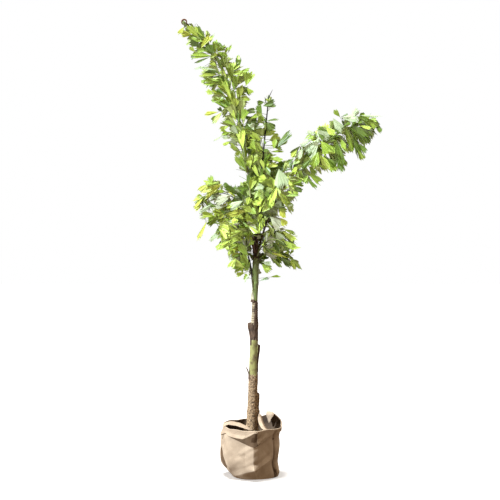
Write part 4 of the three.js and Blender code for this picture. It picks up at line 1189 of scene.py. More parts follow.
# %% Leaflets that stand out
# Each leaflet: foot side and height, tip side and height, width in millimetres, and finish:
# f fresh, m mid, d deep, y turning yellow, s silver underside, g grey-brown underside
SHOWN_LEAFLETS = {
    "tall_left": [
        (-312, 2288, -380, 2298, 47, "y"), (-276, 2278, -348, 2340, 31, "f"),
        (-250, 2262, -322, 2330, 21, "d"), (-244, 2272, -307, 2340, 26, "f"),
        (-239, 2267, -291, 2345, 16, "d"), (-255, 2252, -328, 2272, 36, "m"),
        (-260, 2231, -343, 2257, 31, "d"), (-265, 2220, -213, 2293, 42, "y"),
        (-198, 2189, -239, 2246, 47, "d"), (-208, 2210, -317, 2210, 21, "m"),
        (-208, 2179, -328, 2184, 31, "m"), (-213, 2168, -177, 2194, 16, "f"),
        (-182, 2200, -120, 2174, 42, "m"), (-218, 2174, -302, 2137, 10, "d"),
        (-135, 2200, -182, 2257, 10, "d"), (-125, 2194, -104, 2241, 10, "m"),
        (-182, 2106, -286, 2122, 13, "s"), (-172, 2096, -255, 2096, 26, "d"),
        (-177, 2080, -286, 2080, 16, "f"), (-166, 2049, -260, 2059, 21, "m"),
        (-172, 2038, -260, 2033, 16, "m"), (-172, 2064, -224, 2049, 16, "f"),
        (-99, 1929, -156, 2070, 26, "f"), (-120, 2002, -156, 2106, 26, "d"),
        (-99, 2054, -125, 2148, 36, "m"), (-73, 2106, -68, 2179, 31, "d"), (-31, 2023, -5, 2111, 57, "m"),
        (-68, 2075, -26, 2111, 16, "f"), (-78, 2018, -94, 2090, 36, "m"), (-47, 2023, 0, 1971, 26, "d"),
        (-62, 1960, -62, 2023, 31, "f"), (-83, 1914, -94, 1966, 52, "f"), (-52, 1950, -5, 1955, 21, "m"),
        (-156, 1955, -218, 1950, 31, "m"), (-151, 1981, -224, 1997, 21, "f"),
        (-146, 1981, -198, 2012, 21, "d"), (-109, 1908, -146, 1950, 16, "d"),
        (-83, 1836, -109, 1914, 21, "f"), (-68, 1830, -88, 1903, 16, "d"),
        (-161, 1872, -218, 1836, 31, "m"), (-177, 1888, -255, 1872, 26, "y"),
        (-156, 1888, -177, 1914, 21, "d"), (-57, 1846, -26, 1914, 47, "m"), (-10, 1851, 36, 1877, 21, "m"),
        (-120, 1773, -172, 1804, 21, "m"), (-83, 1815, -156, 1851, 16, "m"),
        (-104, 1752, -166, 1758, 21, "s"), (-73, 1711, -125, 1752, 36, "s"),
        (-73, 1690, -120, 1721, 21, "m"), (-73, 1773, -120, 1820, 31, "s"),
        (-156, 1763, -203, 1742, 10, "s"), (-47, 1695, -62, 1810, 47, "f"), (47, 1737, -16, 1784, 31, "f"),
        (0, 1773, -57, 1804, 16, "m"), (-31, 1576, -88, 1685, 42, "m"), (-10, 1591, -16, 1680, 42, "f"),
        (-10, 1482, -21, 1581, 21, "d"), (42, 1534, 0, 1622, 21, "f"), (52, 1529, 52, 1607, 21, "d"),
        (62, 1586, 47, 1648, 21, "f"), (21, 1690, -10, 1742, 31, "m"), (10, 1794, -10, 1841, 36, "s"),
        (-36, 1586, -62, 1612, 10, "s"), (-354, 2330, -385, 2283, 26, "y"),
        (-296, 2200, -328, 2231, 21, "f"), (-291, 2189, -322, 2163, 16, "d"),
        (-218, 2246, -203, 2298, 16, "m"), (-146, 2179, -120, 2231, 16, "m"),
        (-73, 2137, -68, 2189, 16, "m"), (-73, 2096, -5, 2106, 26, "m"), (-244, 2127, -302, 2111, 12, "s"),
        (-234, 2054, -270, 2038, 21, "m"), (-26, 2012, 5, 1976, 26, "m"), (-198, 1981, -244, 1997, 26, "f"),
        (-156, 1888, -208, 1825, 34, "f"), (-120, 1815, -172, 1789, 29, "f"),
        (-114, 1784, -161, 1763, 21, "m"), (-114, 1737, -151, 1711, 26, "f"),
        (-57, 1685, -88, 1659, 21, "m"),
    ],
    "spear": [
        (52, 1877, 26, 1929, 36, "d"), (57, 1919, 130, 1940, 42, "d"), (73, 1841, 146, 1851, 13, "d"),
        (73, 1830, 120, 1789, 52, "d"), (68, 1820, 16, 1804, 10, "s"), (62, 1836, 36, 1877, 26, "m"),
        (125, 1700, 208, 1789, 31, "d"), (130, 1706, 198, 1747, 26, "m"), (114, 1695, 120, 1758, 26, "m"),
        (94, 1680, 177, 1685, 21, "m"), (94, 1685, 57, 1690, 16, "d"), (88, 1643, 172, 1643, 26, "m"),
        (73, 1602, 140, 1622, 31, "f"), (62, 1742, 73, 1721, 10, "d"), (83, 1654, 62, 1638, 26, "d"),
        (62, 1940, 21, 1929, 26, "d"), (146, 1742, 208, 1789, 21, "d"), (94, 1716, 161, 1695, 16, "m"),
    ],
    "tall_right": [
        (348, 1747, 270, 1654, 73, "s"), (265, 1700, 224, 1638, 42, "s"), (338, 1794, 406, 1747, 42, "s"),
        (343, 1799, 338, 1716, 16, "s"), (421, 1856, 473, 1778, 47, "s"), (463, 1856, 562, 1862, 52, "s"),
        (510, 1851, 556, 1914, 31, "s"), (426, 1836, 458, 1758, 26, "d"), (343, 1778, 380, 1742, 21, "d"),
        (328, 1742, 328, 1789, 10, "d"), (562, 1862, 650, 1810, 47, "m"), (562, 1856, 608, 1846, 16, "d"),
        (562, 1870, 677, 1862, 12, "s"), (515, 1820, 619, 1732, 62, "d"), (551, 1820, 629, 1799, 21, "f"),
        (484, 1815, 525, 1690, 42, "m"), (515, 1794, 556, 1768, 31, "d"), (525, 1763, 577, 1638, 42, "d"),
        (556, 1726, 603, 1674, 21, "d"), (458, 1752, 489, 1685, 26, "m"), (359, 1737, 411, 1669, 62, "m"),
        (437, 1742, 468, 1586, 52, "d"), (348, 1669, 421, 1576, 52, "f"), (385, 1654, 442, 1596, 36, "d"),
        (343, 1680, 312, 1586, 62, "m"), (333, 1612, 395, 1596, 21, "m"), (307, 1643, 250, 1586, 36, "d"),
        (265, 1565, 343, 1482, 16, "d"), (286, 1576, 369, 1513, 36, "m"), (458, 1862, 421, 1903, 26, "m"),
        (463, 1862, 504, 1877, 10, "d"), (328, 1789, 270, 1742, 10, "m"), (286, 1747, 328, 1758, 21, "m"),
        (250, 1711, 198, 1659, 31, "d"), (208, 1612, 250, 1643, 26, "m"), (156, 1596, 218, 1654, 16, "d"),
        (385, 1810, 432, 1763, 36, "f"), (250, 1576, 198, 1596, 21, "m"), (270, 1534, 229, 1576, 42, "m"),
        (291, 1560, 265, 1513, 31, "m"), (333, 1773, 276, 1789, 23, "s"), (312, 1747, 239, 1706, 26, "s"),
        (520, 1862, 546, 1914, 26, "s"), (603, 1836, 655, 1804, 34, "m"), (582, 1773, 619, 1721, 36, "d"),
        (510, 1732, 525, 1674, 31, "m"), (458, 1664, 489, 1596, 36, "m"), (406, 1638, 437, 1570, 42, "m"),
        (447, 1648, 468, 1570, 36, "d"), (551, 1690, 582, 1633, 31, "m"), (234, 1690, 198, 1648, 26, "f"),
        (218, 1503, 265, 1472, 26, "d"), (208, 1482, 244, 1451, 21, "m"),
    ],
    "front_right": [
        (140, 1591, 172, 1482, 78, "s"), (182, 1487, 270, 1482, 36, "d"), (172, 1451, 250, 1456, 13, "m"),
        (135, 1435, 208, 1420, 36, "m"), (151, 1394, 218, 1404, 10, "s"), (135, 1388, 192, 1368, 26, "m"),
        (146, 1383, 172, 1331, 36, "y"), (94, 1342, 177, 1284, 73, "g"), (10, 1482, 62, 1513, 36, "s"),
        (109, 1425, 62, 1492, 31, "d"), (10, 1435, 47, 1482, 31, "m"), (114, 1482, 83, 1555, 42, "f"),
        (73, 1430, 114, 1388, 31, "m"), (52, 1368, 94, 1409, 31, "f"), (83, 1524, 31, 1555, 42, "f"),
        (-10, 1482, 10, 1544, 31, "f"), (31, 1316, 52, 1368, 36, "f"), (52, 1399, 10, 1430, 36, "f"),
        (151, 1336, 182, 1290, 31, "y"),
    ],
    "front_left": [
        (-47, 1425, -125, 1388, 42, "s"), (-31, 1373, -135, 1352, 36, "y"),
        (-42, 1331, -109, 1368, 36, "f"), (31, 1258, -73, 1258, 26, "m"), (-52, 1269, -156, 1253, 31, "f"),
        (-47, 1222, -125, 1248, 42, "f"), (-21, 1139, -73, 1212, 47, "m"),
        (-151, 1284, -187, 1258, 26, "d"), (-73, 1222, -182, 1170, 16, "f"),
        (-104, 1222, -172, 1191, 21, "f"), (-146, 1264, -229, 1217, 10, "s"), (0, 1368, -47, 1399, 42, "f"),
        (10, 1316, -42, 1347, 42, "f"), (-10, 1284, -73, 1305, 36, "m"), (-62, 1305, -140, 1316, 42, "g"),
        (-26, 1404, -10, 1451, 31, "f"), (21, 1357, -10, 1388, 31, "m"), (-47, 1316, -83, 1331, 21, "d"),
        (-21, 1191, 16, 1222, 21, "m"),
    ],
    "low_left": [
        (-16, 1108, -109, 1076, 57, "m"), (-16, 1139, -120, 1144, 10, "d"), (-16, 1024, -47, 1035, 31, "m"),
        (-21, 1092, -62, 1160, 42, "m"), (-36, 1076, -104, 1118, 31, "f"), (-26, 1180, -83, 1160, 21, "d"),
        (-10, 1056, -42, 998, 8, "s"), (-83, 1128, -120, 1071, 34, "f"), (-10, 1108, -42, 1056, 26, "m"),
    ],
    "arch_left": [
        (-156, 1513, -265, 1451, 52, "y"), (-172, 1518, -255, 1518, 31, "m"),
        (-192, 1518, -229, 1555, 31, "s"), (-255, 1440, -296, 1383, 16, "y"),
        (-239, 1316, -281, 1217, 16, "y"), (-83, 1461, -146, 1513, 36, "d"),
        (-99, 1451, -99, 1513, 26, "d"), (-16, 1492, -83, 1487, 16, "d"), (-21, 1446, -62, 1492, 26, "d"),
        (-104, 1456, -208, 1420, 62, "g"), (-125, 1399, -229, 1394, 42, "g"),
        (-187, 1394, -234, 1414, 21, "d"), (-187, 1347, -244, 1331, 31, "m"),
        (-187, 1321, -224, 1290, 10, "d"), (-135, 1362, -172, 1373, 16, "d"),
        (-83, 1414, -109, 1435, 26, "d"), (-208, 1409, -281, 1357, 26, "s"),
        (-187, 1368, -270, 1342, 26, "s"), (-125, 1336, -177, 1357, 31, "g"),
        (-229, 1513, -276, 1466, 36, "y"), (-208, 1513, -218, 1560, 26, "m"),
        (-114, 1498, -156, 1513, 26, "d"), (-265, 1435, -312, 1430, 16, "y"),
        (-260, 1404, -307, 1378, 26, "y"), (-229, 1362, -276, 1331, 29, "g"),
        (-234, 1321, -286, 1217, 21, "y"), (-172, 1264, -229, 1217, 26, "s"),
        (-156, 1212, -187, 1165, 26, "f"),
    ],
    "low_right": [
        (161, 1279, 239, 1248, 16, "m"), (156, 1269, 234, 1212, 26, "f"), (161, 1222, 234, 1170, 31, "m"),
        (125, 1222, 224, 1160, 42, "d"), (104, 1222, 146, 1154, 21, "d"), (52, 1196, 120, 1139, 10, "d"),
        (83, 1279, 166, 1279, 10, "m"), (73, 1264, 114, 1191, 47, "g"), (125, 1264, 156, 1212, 47, "s"),
        (166, 1191, 255, 1175, 16, "f"),
    ],
    "lowest_right": [
        (52, 1165, 198, 1134, 10, "y"), (146, 1134, 208, 1076, 36, "d"), (192, 1134, 270, 1061, 21, "m"),
        (41, 1010, 94, 1030, 13, "d"), (94, 1029, 152, 1037, 12, "m"), (104, 1123, 156, 1076, 16, "m"),
        (52, 1097, 109, 1061, 36, "m"), (62, 1149, 146, 1139, 36, "g"), (52, 1108, 104, 1097, 21, "s"),
        (52, 1092, 104, 1056, 42, "f"),
    ],
}
print(sum(map(len, SHOWN_LEAFLETS.values())), "leaflets placed one by one")

# %% [markdown]
# The crown's outline
#
# The crown is not one cloud. Plumes of leaves stand apart with sky between them, and some
# ribs and the dark throat stay open to view. A solid could cut the leaves off at its
# surface, but cut leaves show. So a whole leaflet either stands or is left out, by where
# it appears from the front. The plumes are listed strokes, each with a width at both
# ends, the gaps between them are small circles, and a rib in view is a line with room
# beside it. All fronds follow the same outline, so the back shows no leaf beside it.

# %% Plumes, ribs in view and gaps of sky
# The plumes that leaves may fill, as seen from the front: each a stroke from a side and
# height to another, with half its width at both ends
PLUMES = (
    ((-352, 2362, 14), (-284, 2262, 68)), ((-284, 2262, 68), (-164, 2110, 122)),
    ((-160, 2110, 126), (-110, 1960, 110)), ((-110, 1960, 104), (-60, 1830, 104)),
    ((-60, 1830, 104), (-20, 1640, 66)), ((-20, 1640, 66), (10, 1540, 60)),
    ((84, 1956, 16), (72, 1840, 26)), ((50, 1800, 50), (125, 1735, 62)), ((125, 1735, 62), (60, 1640, 60)),
    ((588, 1795, 84), (440, 1735, 114)), ((440, 1735, 112), (300, 1645, 106)),
    ((300, 1645, 106), (160, 1550, 96)), ((160, 1550, 100), (40, 1480, 100)),
    ((60, 1420, 172), (-20, 1360, 184)), ((-215, 1480, 66), (-230, 1400, 68)),
    ((-230, 1400, 68), (-185, 1290, 60)), ((0, 1330, 175), (10, 1220, 170)),
    ((146, 1230, 88), (150, 1150, 64)), ((150, 1150, 62), (250, 1078, 22)),
    ((-52, 1200, 72), (-56, 1080, 54)), ((-56, 1080, 54), (10, 1020, 34)),
)
SLACK = 10                     # how far a leaflet may pass the plumes
# Ribs, the throat and two pale leaflets that nothing hides: two ends, and how far leaves stay off
SHOWN_RIBS = (
    (88, 1990, 78, 1856, 9), (73, 1773, 57, 1633, 9), (-31, 1586, -10, 1456, 10), (20, 1165, 94, 1326, 9),
    (16, 1196, 16, 900, 30), (142, 1582, 170, 1494, 26), (-112, 1450, -196, 1424, 22),
)
# Gaps in the crown where sky shows: side, height and radius
OPEN_SKY = (
    (-266, 2142, 22), (224, 1134, 18), (-144, 1154, 18), (-264, 1388, 12), (102, 1862, 16), (116, 1764, 14),
    (-70, 1560, 36), (64, 1874, 16), (86, 1752, 18), (90, 1724, 18), (94, 1108, 18), (-192, 2124, 10),
    (-286, 1300, 20), (-192, 1284, 22), (-265, 1394, 12), (-14, 1912, 16), (-170, 1922, 20), (-90, 1640, 14),
)
VIEW = np.array(CAMERA_AT, float)


def seen_from_front(points):
    """Where points appear in the plane of the stem, as side and height."""
    scale = -VIEW[1] / (points[..., 1] - VIEW[1])
    return VIEW[[0, 2]] + (points[..., [0, 2]] - VIEW[[0, 2]]) * scale[..., None]


def at_depth(side, height, depth):
    """The point at a depth that appears at a side and height in the plane of the stem."""
    scale = (depth - VIEW[1]) / -VIEW[1]
    return np.array((VIEW[0] + (side - VIEW[0]) * scale, depth, VIEW[2] + (height - VIEW[2]) * scale))


def to_strokes(place, starts, ends):
    """How far a place is from each stroke, and its share along it."""
    run = ends - starts
    share = np.clip(((place - starts) * run).sum(1) / (run * run).sum(1), 0, 1)
    return np.linalg.norm(place - starts - run * share[:, None], axis=1), share


plume_starts, plume_ends = (np.array([plume[k][:2] for plume in PLUMES], float) for k in (0, 1))
plume_widths = np.array([[plume[k][2] for plume in PLUMES] for k in (0, 1)], float)
rib_starts, rib_ends = (np.array([line[k:k + 2] for line in SHOWN_RIBS], float) for k in (0, 2))
rib_room = np.array([line[4] for line in SHOWN_RIBS], float)


def in_outline(points):
    """Whether all points appear within the plumes and outside the gaps of sky."""
    for place in seen_from_front(points):
        away, share = to_strokes(place, plume_starts, plume_ends)
        if (away > plume_widths[0] + (plume_widths[1] - plume_widths[0]) * share + SLACK).all():
            return False
        if any(math.hypot(place[0] - gap[0], place[1] - gap[1]) < gap[2] for gap in OPEN_SKY):
            return False
    return True


print(len(PLUMES), "plumes,", len(SHOWN_RIBS), "lines kept in view and", len(OPEN_SKY), "gaps of sky")

# %% [markdown]
# Leaflets of the rule
#
# Each side rib carries seven leaflets. They leave it to one side and the other in turn,
# and lean forwards more and more towards its tip, like the fingers of an open hand. The
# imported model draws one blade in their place, so their lengths are shares of that blade
# and they droop as it does. All could be alike, but a real spray is uneven, so chance
# sways each of them a little.

# %% Leaflets on one side rib
# Each leaflet: where it starts, how far it swings aside in degrees, its share of the rib's length
SPRAY = (
    (0.02, 60, 0.54), (0.07, -54, 0.58), (0.13, 38, 0.62), (0.19, -32, 0.64),
    (0.25, 18, 0.66), (0.31, -14, 0.66), (0.37, 2, 0.63),
)
# How far chance moves it to either side: swing and tilt in degrees, the others as shares
SWAY = dict(start=0.04, swing=12, tilt=48, length=0.14, width=0.1, curl=0.16)
BLADE_WIDTH = 0.38             # share of the leaflet's length
STAYS_OVER = 0.12              # of the leaflets that face down, this share stays so


def swung(vector, axis, degrees):
    """A vector turned round an axis at right angles to it."""
    angle = math.radians(degrees)
    return vector * math.cos(angle) + np.cross(axis, vector) * math.sin(angle)


def spray_leaflets(rib, roll):
    """The leaflets that one side rib carries."""
    def sway(part):
        return SWAY[part] * (2 * roll() - 1)

    leaflets = []
    for start, swing, share in SPRAY:
        at = start + sway("start")
        foot = rib["base"] + rib["out"] * rib["length"] * at
        foot[2] -= DROOP * rib["length"] * at * at
        heading = rib["out"] - np.array((0, 0, 2 * DROOP * at))
        heading /= np.linalg.norm(heading)
        normal = rib["normal"] - heading * (rib["normal"] @ heading)
        normal /= np.linalg.norm(normal)
        out = swung(heading, normal, swing + sway("swing"))
        across = swung(np.cross(normal, out), out, sway("tilt"))
        normal = np.cross(out, across)
        if normal[2] < 0 and roll() > STAYS_OVER:
            normal, across = -normal, -across
        length = rib["length"] * share * (1 + sway("length"))
        width = length * (BLADE_WIDTH + sway("width"))
        leaflets.append(dict(foot=foot, out=out, across=across, normal=normal, length=length, width=width,
                             hand=1 if roll() < 0.5 else -1, droop=0.14 + 0.14 * roll(), curl=sway("curl"),
                             shape=int(roll() * LEAF_SHAPES)))
    return leaflets


print("leaflets on a side rib:", len(SPRAY))

# %% [markdown]
# Leaflets placed one by one
#
# A leaflet that stands out is known only as it appears from the front. Its depth is taken
# from the nearest place of its frond's rib, so it hangs a little in front of that. A wide
# one is two or three blades that overlap, spread like a fan. It could float where it
# appears, but from the side it would hang in the air, so a thin stalk joins it to the rib.

# %% Place the leaflets that stand out
SHAFT_LEAFLETS = 1040          # a leaflet that starts lower hangs from the shaft itself
TWO_BLADES, THREE_BLADES = 20, 34              # widths from which a place holds two or three blades
STANDS_PROUD, PROUD_RANGE = 12, 24             # how far in front of its rib a leaflet starts, and by chance


def shown_leaflet(spine, foot_side, foot_height, tip_side, tip_height, width, finish, roll):
    """A leaflet placed as it appears from the front, and its stalk from the rib."""
    away = np.linalg.norm(seen_from_front(spine) - (foot_side, foot_height), axis=1)
    rib_point = spine[away.argmin()]
    if foot_height < SHAFT_LEAFLETS:
        rib_point = np.array((float(stem_centre(foot_height)), 0, foot_height - 8))
    foot = at_depth(foot_side, foot_height, rib_point[1] - STANDS_PROUD - PROUD_RANGE * roll())
    tip = at_depth(tip_side, tip_height, foot[1] + 26 * (2 * roll() - 1))
    out = tip - foot
    length = np.linalg.norm(out)
    out /= length
    facing = np.array((0.9 * roll() - 0.75, -1, 0.9 * roll() - 0.1))
    normal = -facing if finish in "sg" else facing
    normal -= out * (normal @ out)
    normal /= np.linalg.norm(normal)
    count = 1 + (width >= TWO_BLADES) + (width >= THREE_BLADES)
    half_fan = math.degrees(math.atan2(width, 2 * length)) * (1 - 1 / count)
    blades = []
    for k in range(count):
        swing = half_fan * (2 * (k + 0.5) / count - 1) * count / max(1, count - 1) + 4 * (roll() - 0.5)
        way = swung(out, normal, swing)
        blades.append(dict(foot=foot - normal * 0.8 * k, out=way, across=np.cross(normal, way), normal=normal,
                           length=length * (1.08 - 0.16 * roll() * (count > 1)),
                           width=1.3 * width / count ** 0.7, hand=1 if roll() < 0.5 else -1, droop=0.02,
                           curl=0.12 * (roll() - 0.5), shape=int(roll() * LEAF_SHAPES)))
    return blades, np.linspace(rib_point, foot + out * 4, 4)


roll = dice(7)
shown = {}
for frond in FRONDS:
    spine = paths[frond["name"]][0]
    entries = SHOWN_LEAFLETS.get(frond["name"], ())
    shown[frond["name"]] = [(*shown_leaflet(spine, *entry, roll), entry[-1]) for entry in entries]
shown_blades = [leaf for placed in shown.values() for blades, stalk, finish in placed for leaf in blades]
print(len(shown_blades), "blades in the leaflets that stand out")

# %% [markdown]
# Which leaflets may stand
#
# Each leaflet of the rule is tried at five spots along its blade: it must stay off the
# stem, in the outline, clear of the ribs in view and out of the way of the leaflets placed
# one by one. Blender could test the finished meshes against each other, but spots and
# lines are far quicker and close enough for a leaf.

# %% Test a leaflet
# Spots on a blade: shares of its length and of its width
SPOTS = np.array(((0.3, 0), (0.6, -0.36), (0.8, 0.3), (0.9, -0.3), (1, 0.2)))
STEM_ROOM = 24                 # how far a blade stays off the stem's middle line
FRONT_TIPS = -290              # nearer to the viewer than this, leaflets may cover the placed ones
BLADE_COVER = 0.45             # share of a placed blade's width that stays uncovered to each side


def leaf_spots(leaf, shares):
    """Points on a leaflet from shares of its length and width."""
    a, b = shares[:, 0], shares[:, 1]
    spots = leaf["foot"] + np.outer(a * leaf["length"], leaf["out"])
    spots += np.outer(b * leaf["width"] * leaf["hand"], leaf["across"])
    spots[:, 2] -= leaf["droop"] * leaf["length"] * a * a
    return spots


def beside_shown_ribs(spots):
    """Whether a leaflet in front of the stem's plane leaves the ribs and the throat in view."""
    for place, depth in zip(seen_from_front(spots), spots[:, 1]):
        away, share = to_strokes(place, rib_starts, rib_ends)
        if depth < -2 and (away < rib_room).any():
            return False
    return True


shown_feet = np.array([leaf["foot"] for leaf in shown_blades])
shown_tips = np.array([leaf["foot"] + leaf["out"] * leaf["length"] for leaf in shown_blades])
shown_half = np.array([leaf["width"] for leaf in shown_blades]) * BLADE_COVER
shown_depth = (shown_feet[:, 1] + shown_tips[:, 1]) / 2
shown_starts, shown_ends = seen_from_front(shown_feet * 0.75 + shown_tips * 0.25), seen_from_front(shown_tips)


def hides_shown(spots):
    """Whether a leaflet would stand in front of one that is placed by itself."""
    for place, depth in zip(seen_from_front(spots), spots[:, 1]):
        away, share = to_strokes(place, shown_starts, shown_ends)
        if ((away < shown_half) & (depth < shown_depth - 4)).any():
            return True
    return False


def fits(leaf):
    """Whether a leaflet stays in the outline, off the stem, and behind those placed by themselves."""
    spots = leaf_spots(leaf, SPOTS)
    off_stem = np.hypot(spots[:, 0] - stem_centre(spots[:, 2]), spots[:, 1]) > STEM_ROOM
    far_out = spots[:, 1].min() < FRONT_TIPS
    return ((off_stem | (spots[:, 2] > HEART_TOP)).all() and in_outline(spots) and beside_shown_ribs(spots)
            and (far_out or not hides_shown(spots)))


first_spray = spray_leaflets(side_ribs(FRONDS[0])[0], dice(1))
print("of the first side rib's leaflets fit:", sum(fits(leaf) for leaf in first_spray))

# %% [markdown]
# From leaflets to one mesh
#
# A tall frond has hundreds of leaflets, and an object for each would be slow to handle and hard
# to hand on. Here all blades of a frond are worked out at once as one array, from the
# shared shapes and each leaflet's own place, and become one piece. The layout of each
# blade, across and along, is stored as well, so that the streaks follow its veins.

# %% Turn leaflets into a mesh
def leaflet_mesh(leaflets, tones, unders):
    """Points, faces, finish numbers and blade layout of many leaflets at once."""
    count = len(leaflets)

    def pick(key):
        return np.array([leaf[key] for leaf in leaflets])

    shapes = pick("shape")
    a, b, lift = (np.stack([leaf_shapes[k][part] for k in shapes]) for part in range(3))
    length, width = (pick(key)[:, None, None] for key in ("length", "width"))
    hand, droop, curl = (pick(key)[:, None, None] for key in ("hand", "droop", "curl"))
    foot, out, across, normal = (pick(key)[:, None, None, :] for key in ("foot", "out", "across", "normal"))
    middle = foot + out * (length * a)[..., None] + across * (hand * width * b)[..., None]
    middle = middle + normal * (width * lift + curl * length * a * a)[..., None]
    middle[..., 2] -= droop[..., 0][..., None] * length[..., 0][..., None] * a * a
    upper = middle + normal * LEAF_THICK / 2
    under = middle - normal * LEAF_THICK / 2
    points = np.stack((upper.reshape(count, -1, 3), under.reshape(count, -1, 3)), 1).reshape(-1, 3)
    per_leaf = 2 * LEAF_ROWS * VEINS
    faces = np.broadcast_to(leaf_faces, (count, *leaf_faces.shape)).copy()
    mirrored = pick("hand") > 0
    faces[mirrored] = faces[mirrored][:, :, ::-1]
    faces = faces + (np.arange(count) * per_leaf)[:, None, None]
    numbers = np.empty((count, len(leaf_faces)), int)
    numbers[:] = np.array(tones)[:, None]
    sides = len(top_faces)
    numbers[:, sides:2 * sides] = np.array(unders)[:, None]
    layout = np.stack(np.meshgrid(np.linspace(0, 1, VEINS), np.linspace(0, 1, LEAF_ROWS)), -1)
    layout = np.concatenate((layout.reshape(-1, 2),) * 2)
    layout = np.broadcast_to(layout, (count, per_leaf, 2)) + np.arange(count)[:, None, None] * 0.37
    return points, faces.reshape(-1, 4), numbers.ravel(), layout.reshape(-1, 2)


def add_layout(piece, layout):
    """Stores where each point lies on its blade, for the streaks along the veins."""
    layer = piece.data.uv_layers.new(name="blade")
    corners = np.empty(len(piece.data.loops), np.int32)
    piece.data.loops.foreach_get("vertex_index", corners)
    layer.data.foreach_set("uv", layout[corners].ravel().astype(np.float32))


print("points in a leaflet:", 2 * LEAF_ROWS * VEINS)

# %% [markdown]
# Frond by frond
#
# For each frond the placed leaflets come first, then side rib after side rib with those of
# its leaflets that fit, or fit when a little shorter. A spray keeps one tone, as its
# leaflets opened together. Its thin limbs and the main rib are joined to one piece, and
# its leaflets to another, so that each can be picked and recoloured by itself.

# %% Grow every frond
# Shares of fresh, mid, deep and yellow sprays in each frond, then of silver and grey-brown undersides
# Partly painted light and shade: the low and front fronds lean to the pale tones to lift the shade that they
# hang in, and tall_right to the deep one as painted shade
TONES = {
    "tall_left": (0.26, 0.4, 0.32, 0.02, 0.16, 0.0), "tall_right": (0.1, 0.3, 0.6, 0.0, 0.34, 0.0),
    "spear": (0.1, 0.4, 0.5, 0.0, 0.0, 0.0), "arch_left": (0.5, 0.24, 0.1, 0.16, 0.3, 0.4),
    "low_left": (0.7, 0.22, 0.03, 0.05, 0.2, 0.3), "low_right": (0.6, 0.24, 0.08, 0.08, 0.3, 0.35),
    "lowest_right": (0.5, 0.34, 0.16, 0.0, 0.3, 0.35), "low_front": (0.8, 0.13, 0.02, 0.05, 0.25, 0.3),
    "front_left": (0.82, 0.1, 0.02, 0.06, 0.3, 0.15), "front_right": (0.82, 0.13, 0.02, 0.03, 0.35, 0.1),
    "back": (0.3, 0.42, 0.28, 0.0, 0.1, 0.0), "back_low": (0.36, 0.4, 0.22, 0.02, 0.2, 0.2),
}
# Along each main rib: up to which share of its length it has which rib finish
RIB_FINISH = {
    "tall_left": ((0.2, 2), (1, 0)), "tall_right": ((0.42, 2), (1, 1)), "spear": ((1, 3),),
    "arch_left": ((0.3, 2), (1, 1)), "low_left": ((0.5, 3), (1, 1)), "low_right": ((1, 1),),
    "lowest_right": ((1, 1),), "low_front": ((1, 1),), "front_left": ((0.2, 2), (1, 1)),
    "front_right": ((0.2, 2), (1, 1)), "back": ((0.2, 2), (1, 0)), "back_low": ((0.2, 2), (1, 1)),
}
UPPER_NUMBER = {"f": 0, "m": 1, "d": 2, "y": 3}
UNDER_NUMBER = {"s": 1, "g": 2}
DRAWN_THICKER = {"spear": 1.8, "low_left": 1.2}
RIB_SIDES, LIMB_SIDES = 10, 5
STALK_RADII, SIDE_RIB_RADII = (1.2, 0.8), (1.5, 0.8)
SIDE_RIB_REACH = 0.4           # share of a side rib that is drawn, up to its last leaflet
SPEAR_TIP = np.array((107.0, 4, 2004))
SHORTER, NARROWER = 0.66, 0.75                 # a second try for a leaflet that doesn't fit


def dressed(frond):
    """A frond's leaflets, the finish numbers of their two sides, and the limbs that carry them."""
    roll = dice(frond["seed"] + 1000)
    fresh, mid, deep, _, silver, grey = TONES[frond["name"]]
    leaflets, tones, unders, limbs = [], [], [], []
    for blades, stalk, finish in shown[frond["name"]]:
        leaflets += blades
        tones += [UPPER_NUMBER.get(finish, 1)] * len(blades)
        unders += [FIRST_UNDER + UNDER_NUMBER.get(finish, 0)] * len(blades)
        limbs.append((*tube(stalk, np.linspace(*STALK_RADII, len(stalk)), LIMB_SIDES), 1))
    for rib in side_ribs(frond):
        chance = roll()
        tone = int(chance > fresh) + int(chance > fresh + mid) + int(chance > fresh + mid + deep)
        below = roll()
        under = FIRST_UNDER + (1 if below < silver else 2 if below < silver + grey else 0)
        kept = []
        for leaf in spray_leaflets(rib, roll):
            shorter = dict(leaf, length=leaf["length"] * SHORTER, width=leaf["width"] * NARROWER)
            kept += [one for one in (leaf, shorter) if fits(one)][:1]
        if not kept:
            continue
        leaflets += kept
        tones += [tone] * len(kept)
        unders += [under] * len(kept)
        reach = np.linspace(0, SIDE_RIB_REACH, 5)
        path = rib["base"] + np.outer(reach * rib["length"], rib["out"])
        path[:, 2] -= DROOP * rib["length"] * reach ** 2
        limbs.append((*tube(path, np.linspace(*SIDE_RIB_RADII, len(path)), LIMB_SIDES), 1))
    return leaflets, tones, unders, limbs


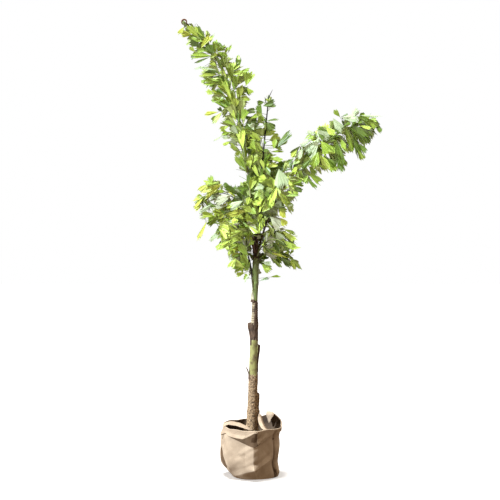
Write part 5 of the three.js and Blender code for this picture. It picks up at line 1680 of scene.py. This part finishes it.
total_leaflets = 0
leaves_only = bpy.data.collections.new("lit_by_the_fill_lamp")
for frond in FRONDS:
    name = frond["name"]
    leaflets, tones, unders, limbs = dressed(frond)
    points, faces, numbers, layout = leaflet_mesh(leaflets, tones, unders)
    piece = make_piece("leaflets_" + name, points, faces, LEAF_FINISHES, numbers,
                       stands_for=("frond_" + name,), sharp=48)
    add_layout(piece, layout)
    leaves_only.objects.link(piece)
    total_leaflets += len(leaflets)

    spine, tangents, side = paths[name]
    share = np.linspace(0, 1, len(spine))
    radii = (frond["thick"] + (RIB_TIP - frond["thick"]) * share) * DRAWN_THICKER.get(name, 1)
    rib_points, rib_faces = tube(spine, radii, RIB_SIDES, up=tuple(side))
    middle_share = (np.arange(len(spine) - 1) + 0.5) / (len(spine) - 1)
    finish = np.zeros(len(spine) - 1, int)
    for limit, number in reversed(RIB_FINISH[name]):
        finish[middle_share < limit] = number
    if name == "spear":
        limbs.append((*tube(np.linspace(spine[-1], SPEAR_TIP, 6), np.linspace(radii[-1], 0.8, 6), 8), 3))
    points, faces, numbers = join([(rib_points, rib_faces, np.repeat(finish, RIB_SIDES))] + limbs)
    rib_piece = make_piece("ribs_" + name, points, faces, rib_finishes, numbers)
    add_layout(rib_piece, np.zeros((len(points), 2)))
fill_lamp.light_linking.receiver_collection = leaves_only
print("leaflets in all:", total_leaflets)

# %% [markdown]
# The dried tip
#
# The tip of the tall frond has died and rolled up to a brown ring. It could be a torus,
# but a dead rib tapers and never closes its ring, so it is a tube along a turn of a screw.

# %% Curl the dried tip
CURL_AT = np.array((-352.0, -12, 2353))
CURL_RADIUS = 12.5
rib_end = paths["tall_left"][0][-1]
turn = np.linspace(-0.6, 5.2, 22)
curl = CURL_AT + CURL_RADIUS * np.stack((np.cos(turn), 0.12 * turn - 0.3, np.sin(turn)), -1)
path = np.concatenate(([rib_end, (rib_end + curl[0]) / 2 + (4, 0, 0)], curl))
radii = np.interp(np.arange(len(path)), (0, 3, 12, len(path) - 1), (1.8, 3.6, 4.8, 2.4))
points, faces = tube(path, radii, 8)
curl_piece = make_piece("dried_curl", points, faces, [leaf_dried])
add_layout(curl_piece, np.zeros((len(points), 2)))
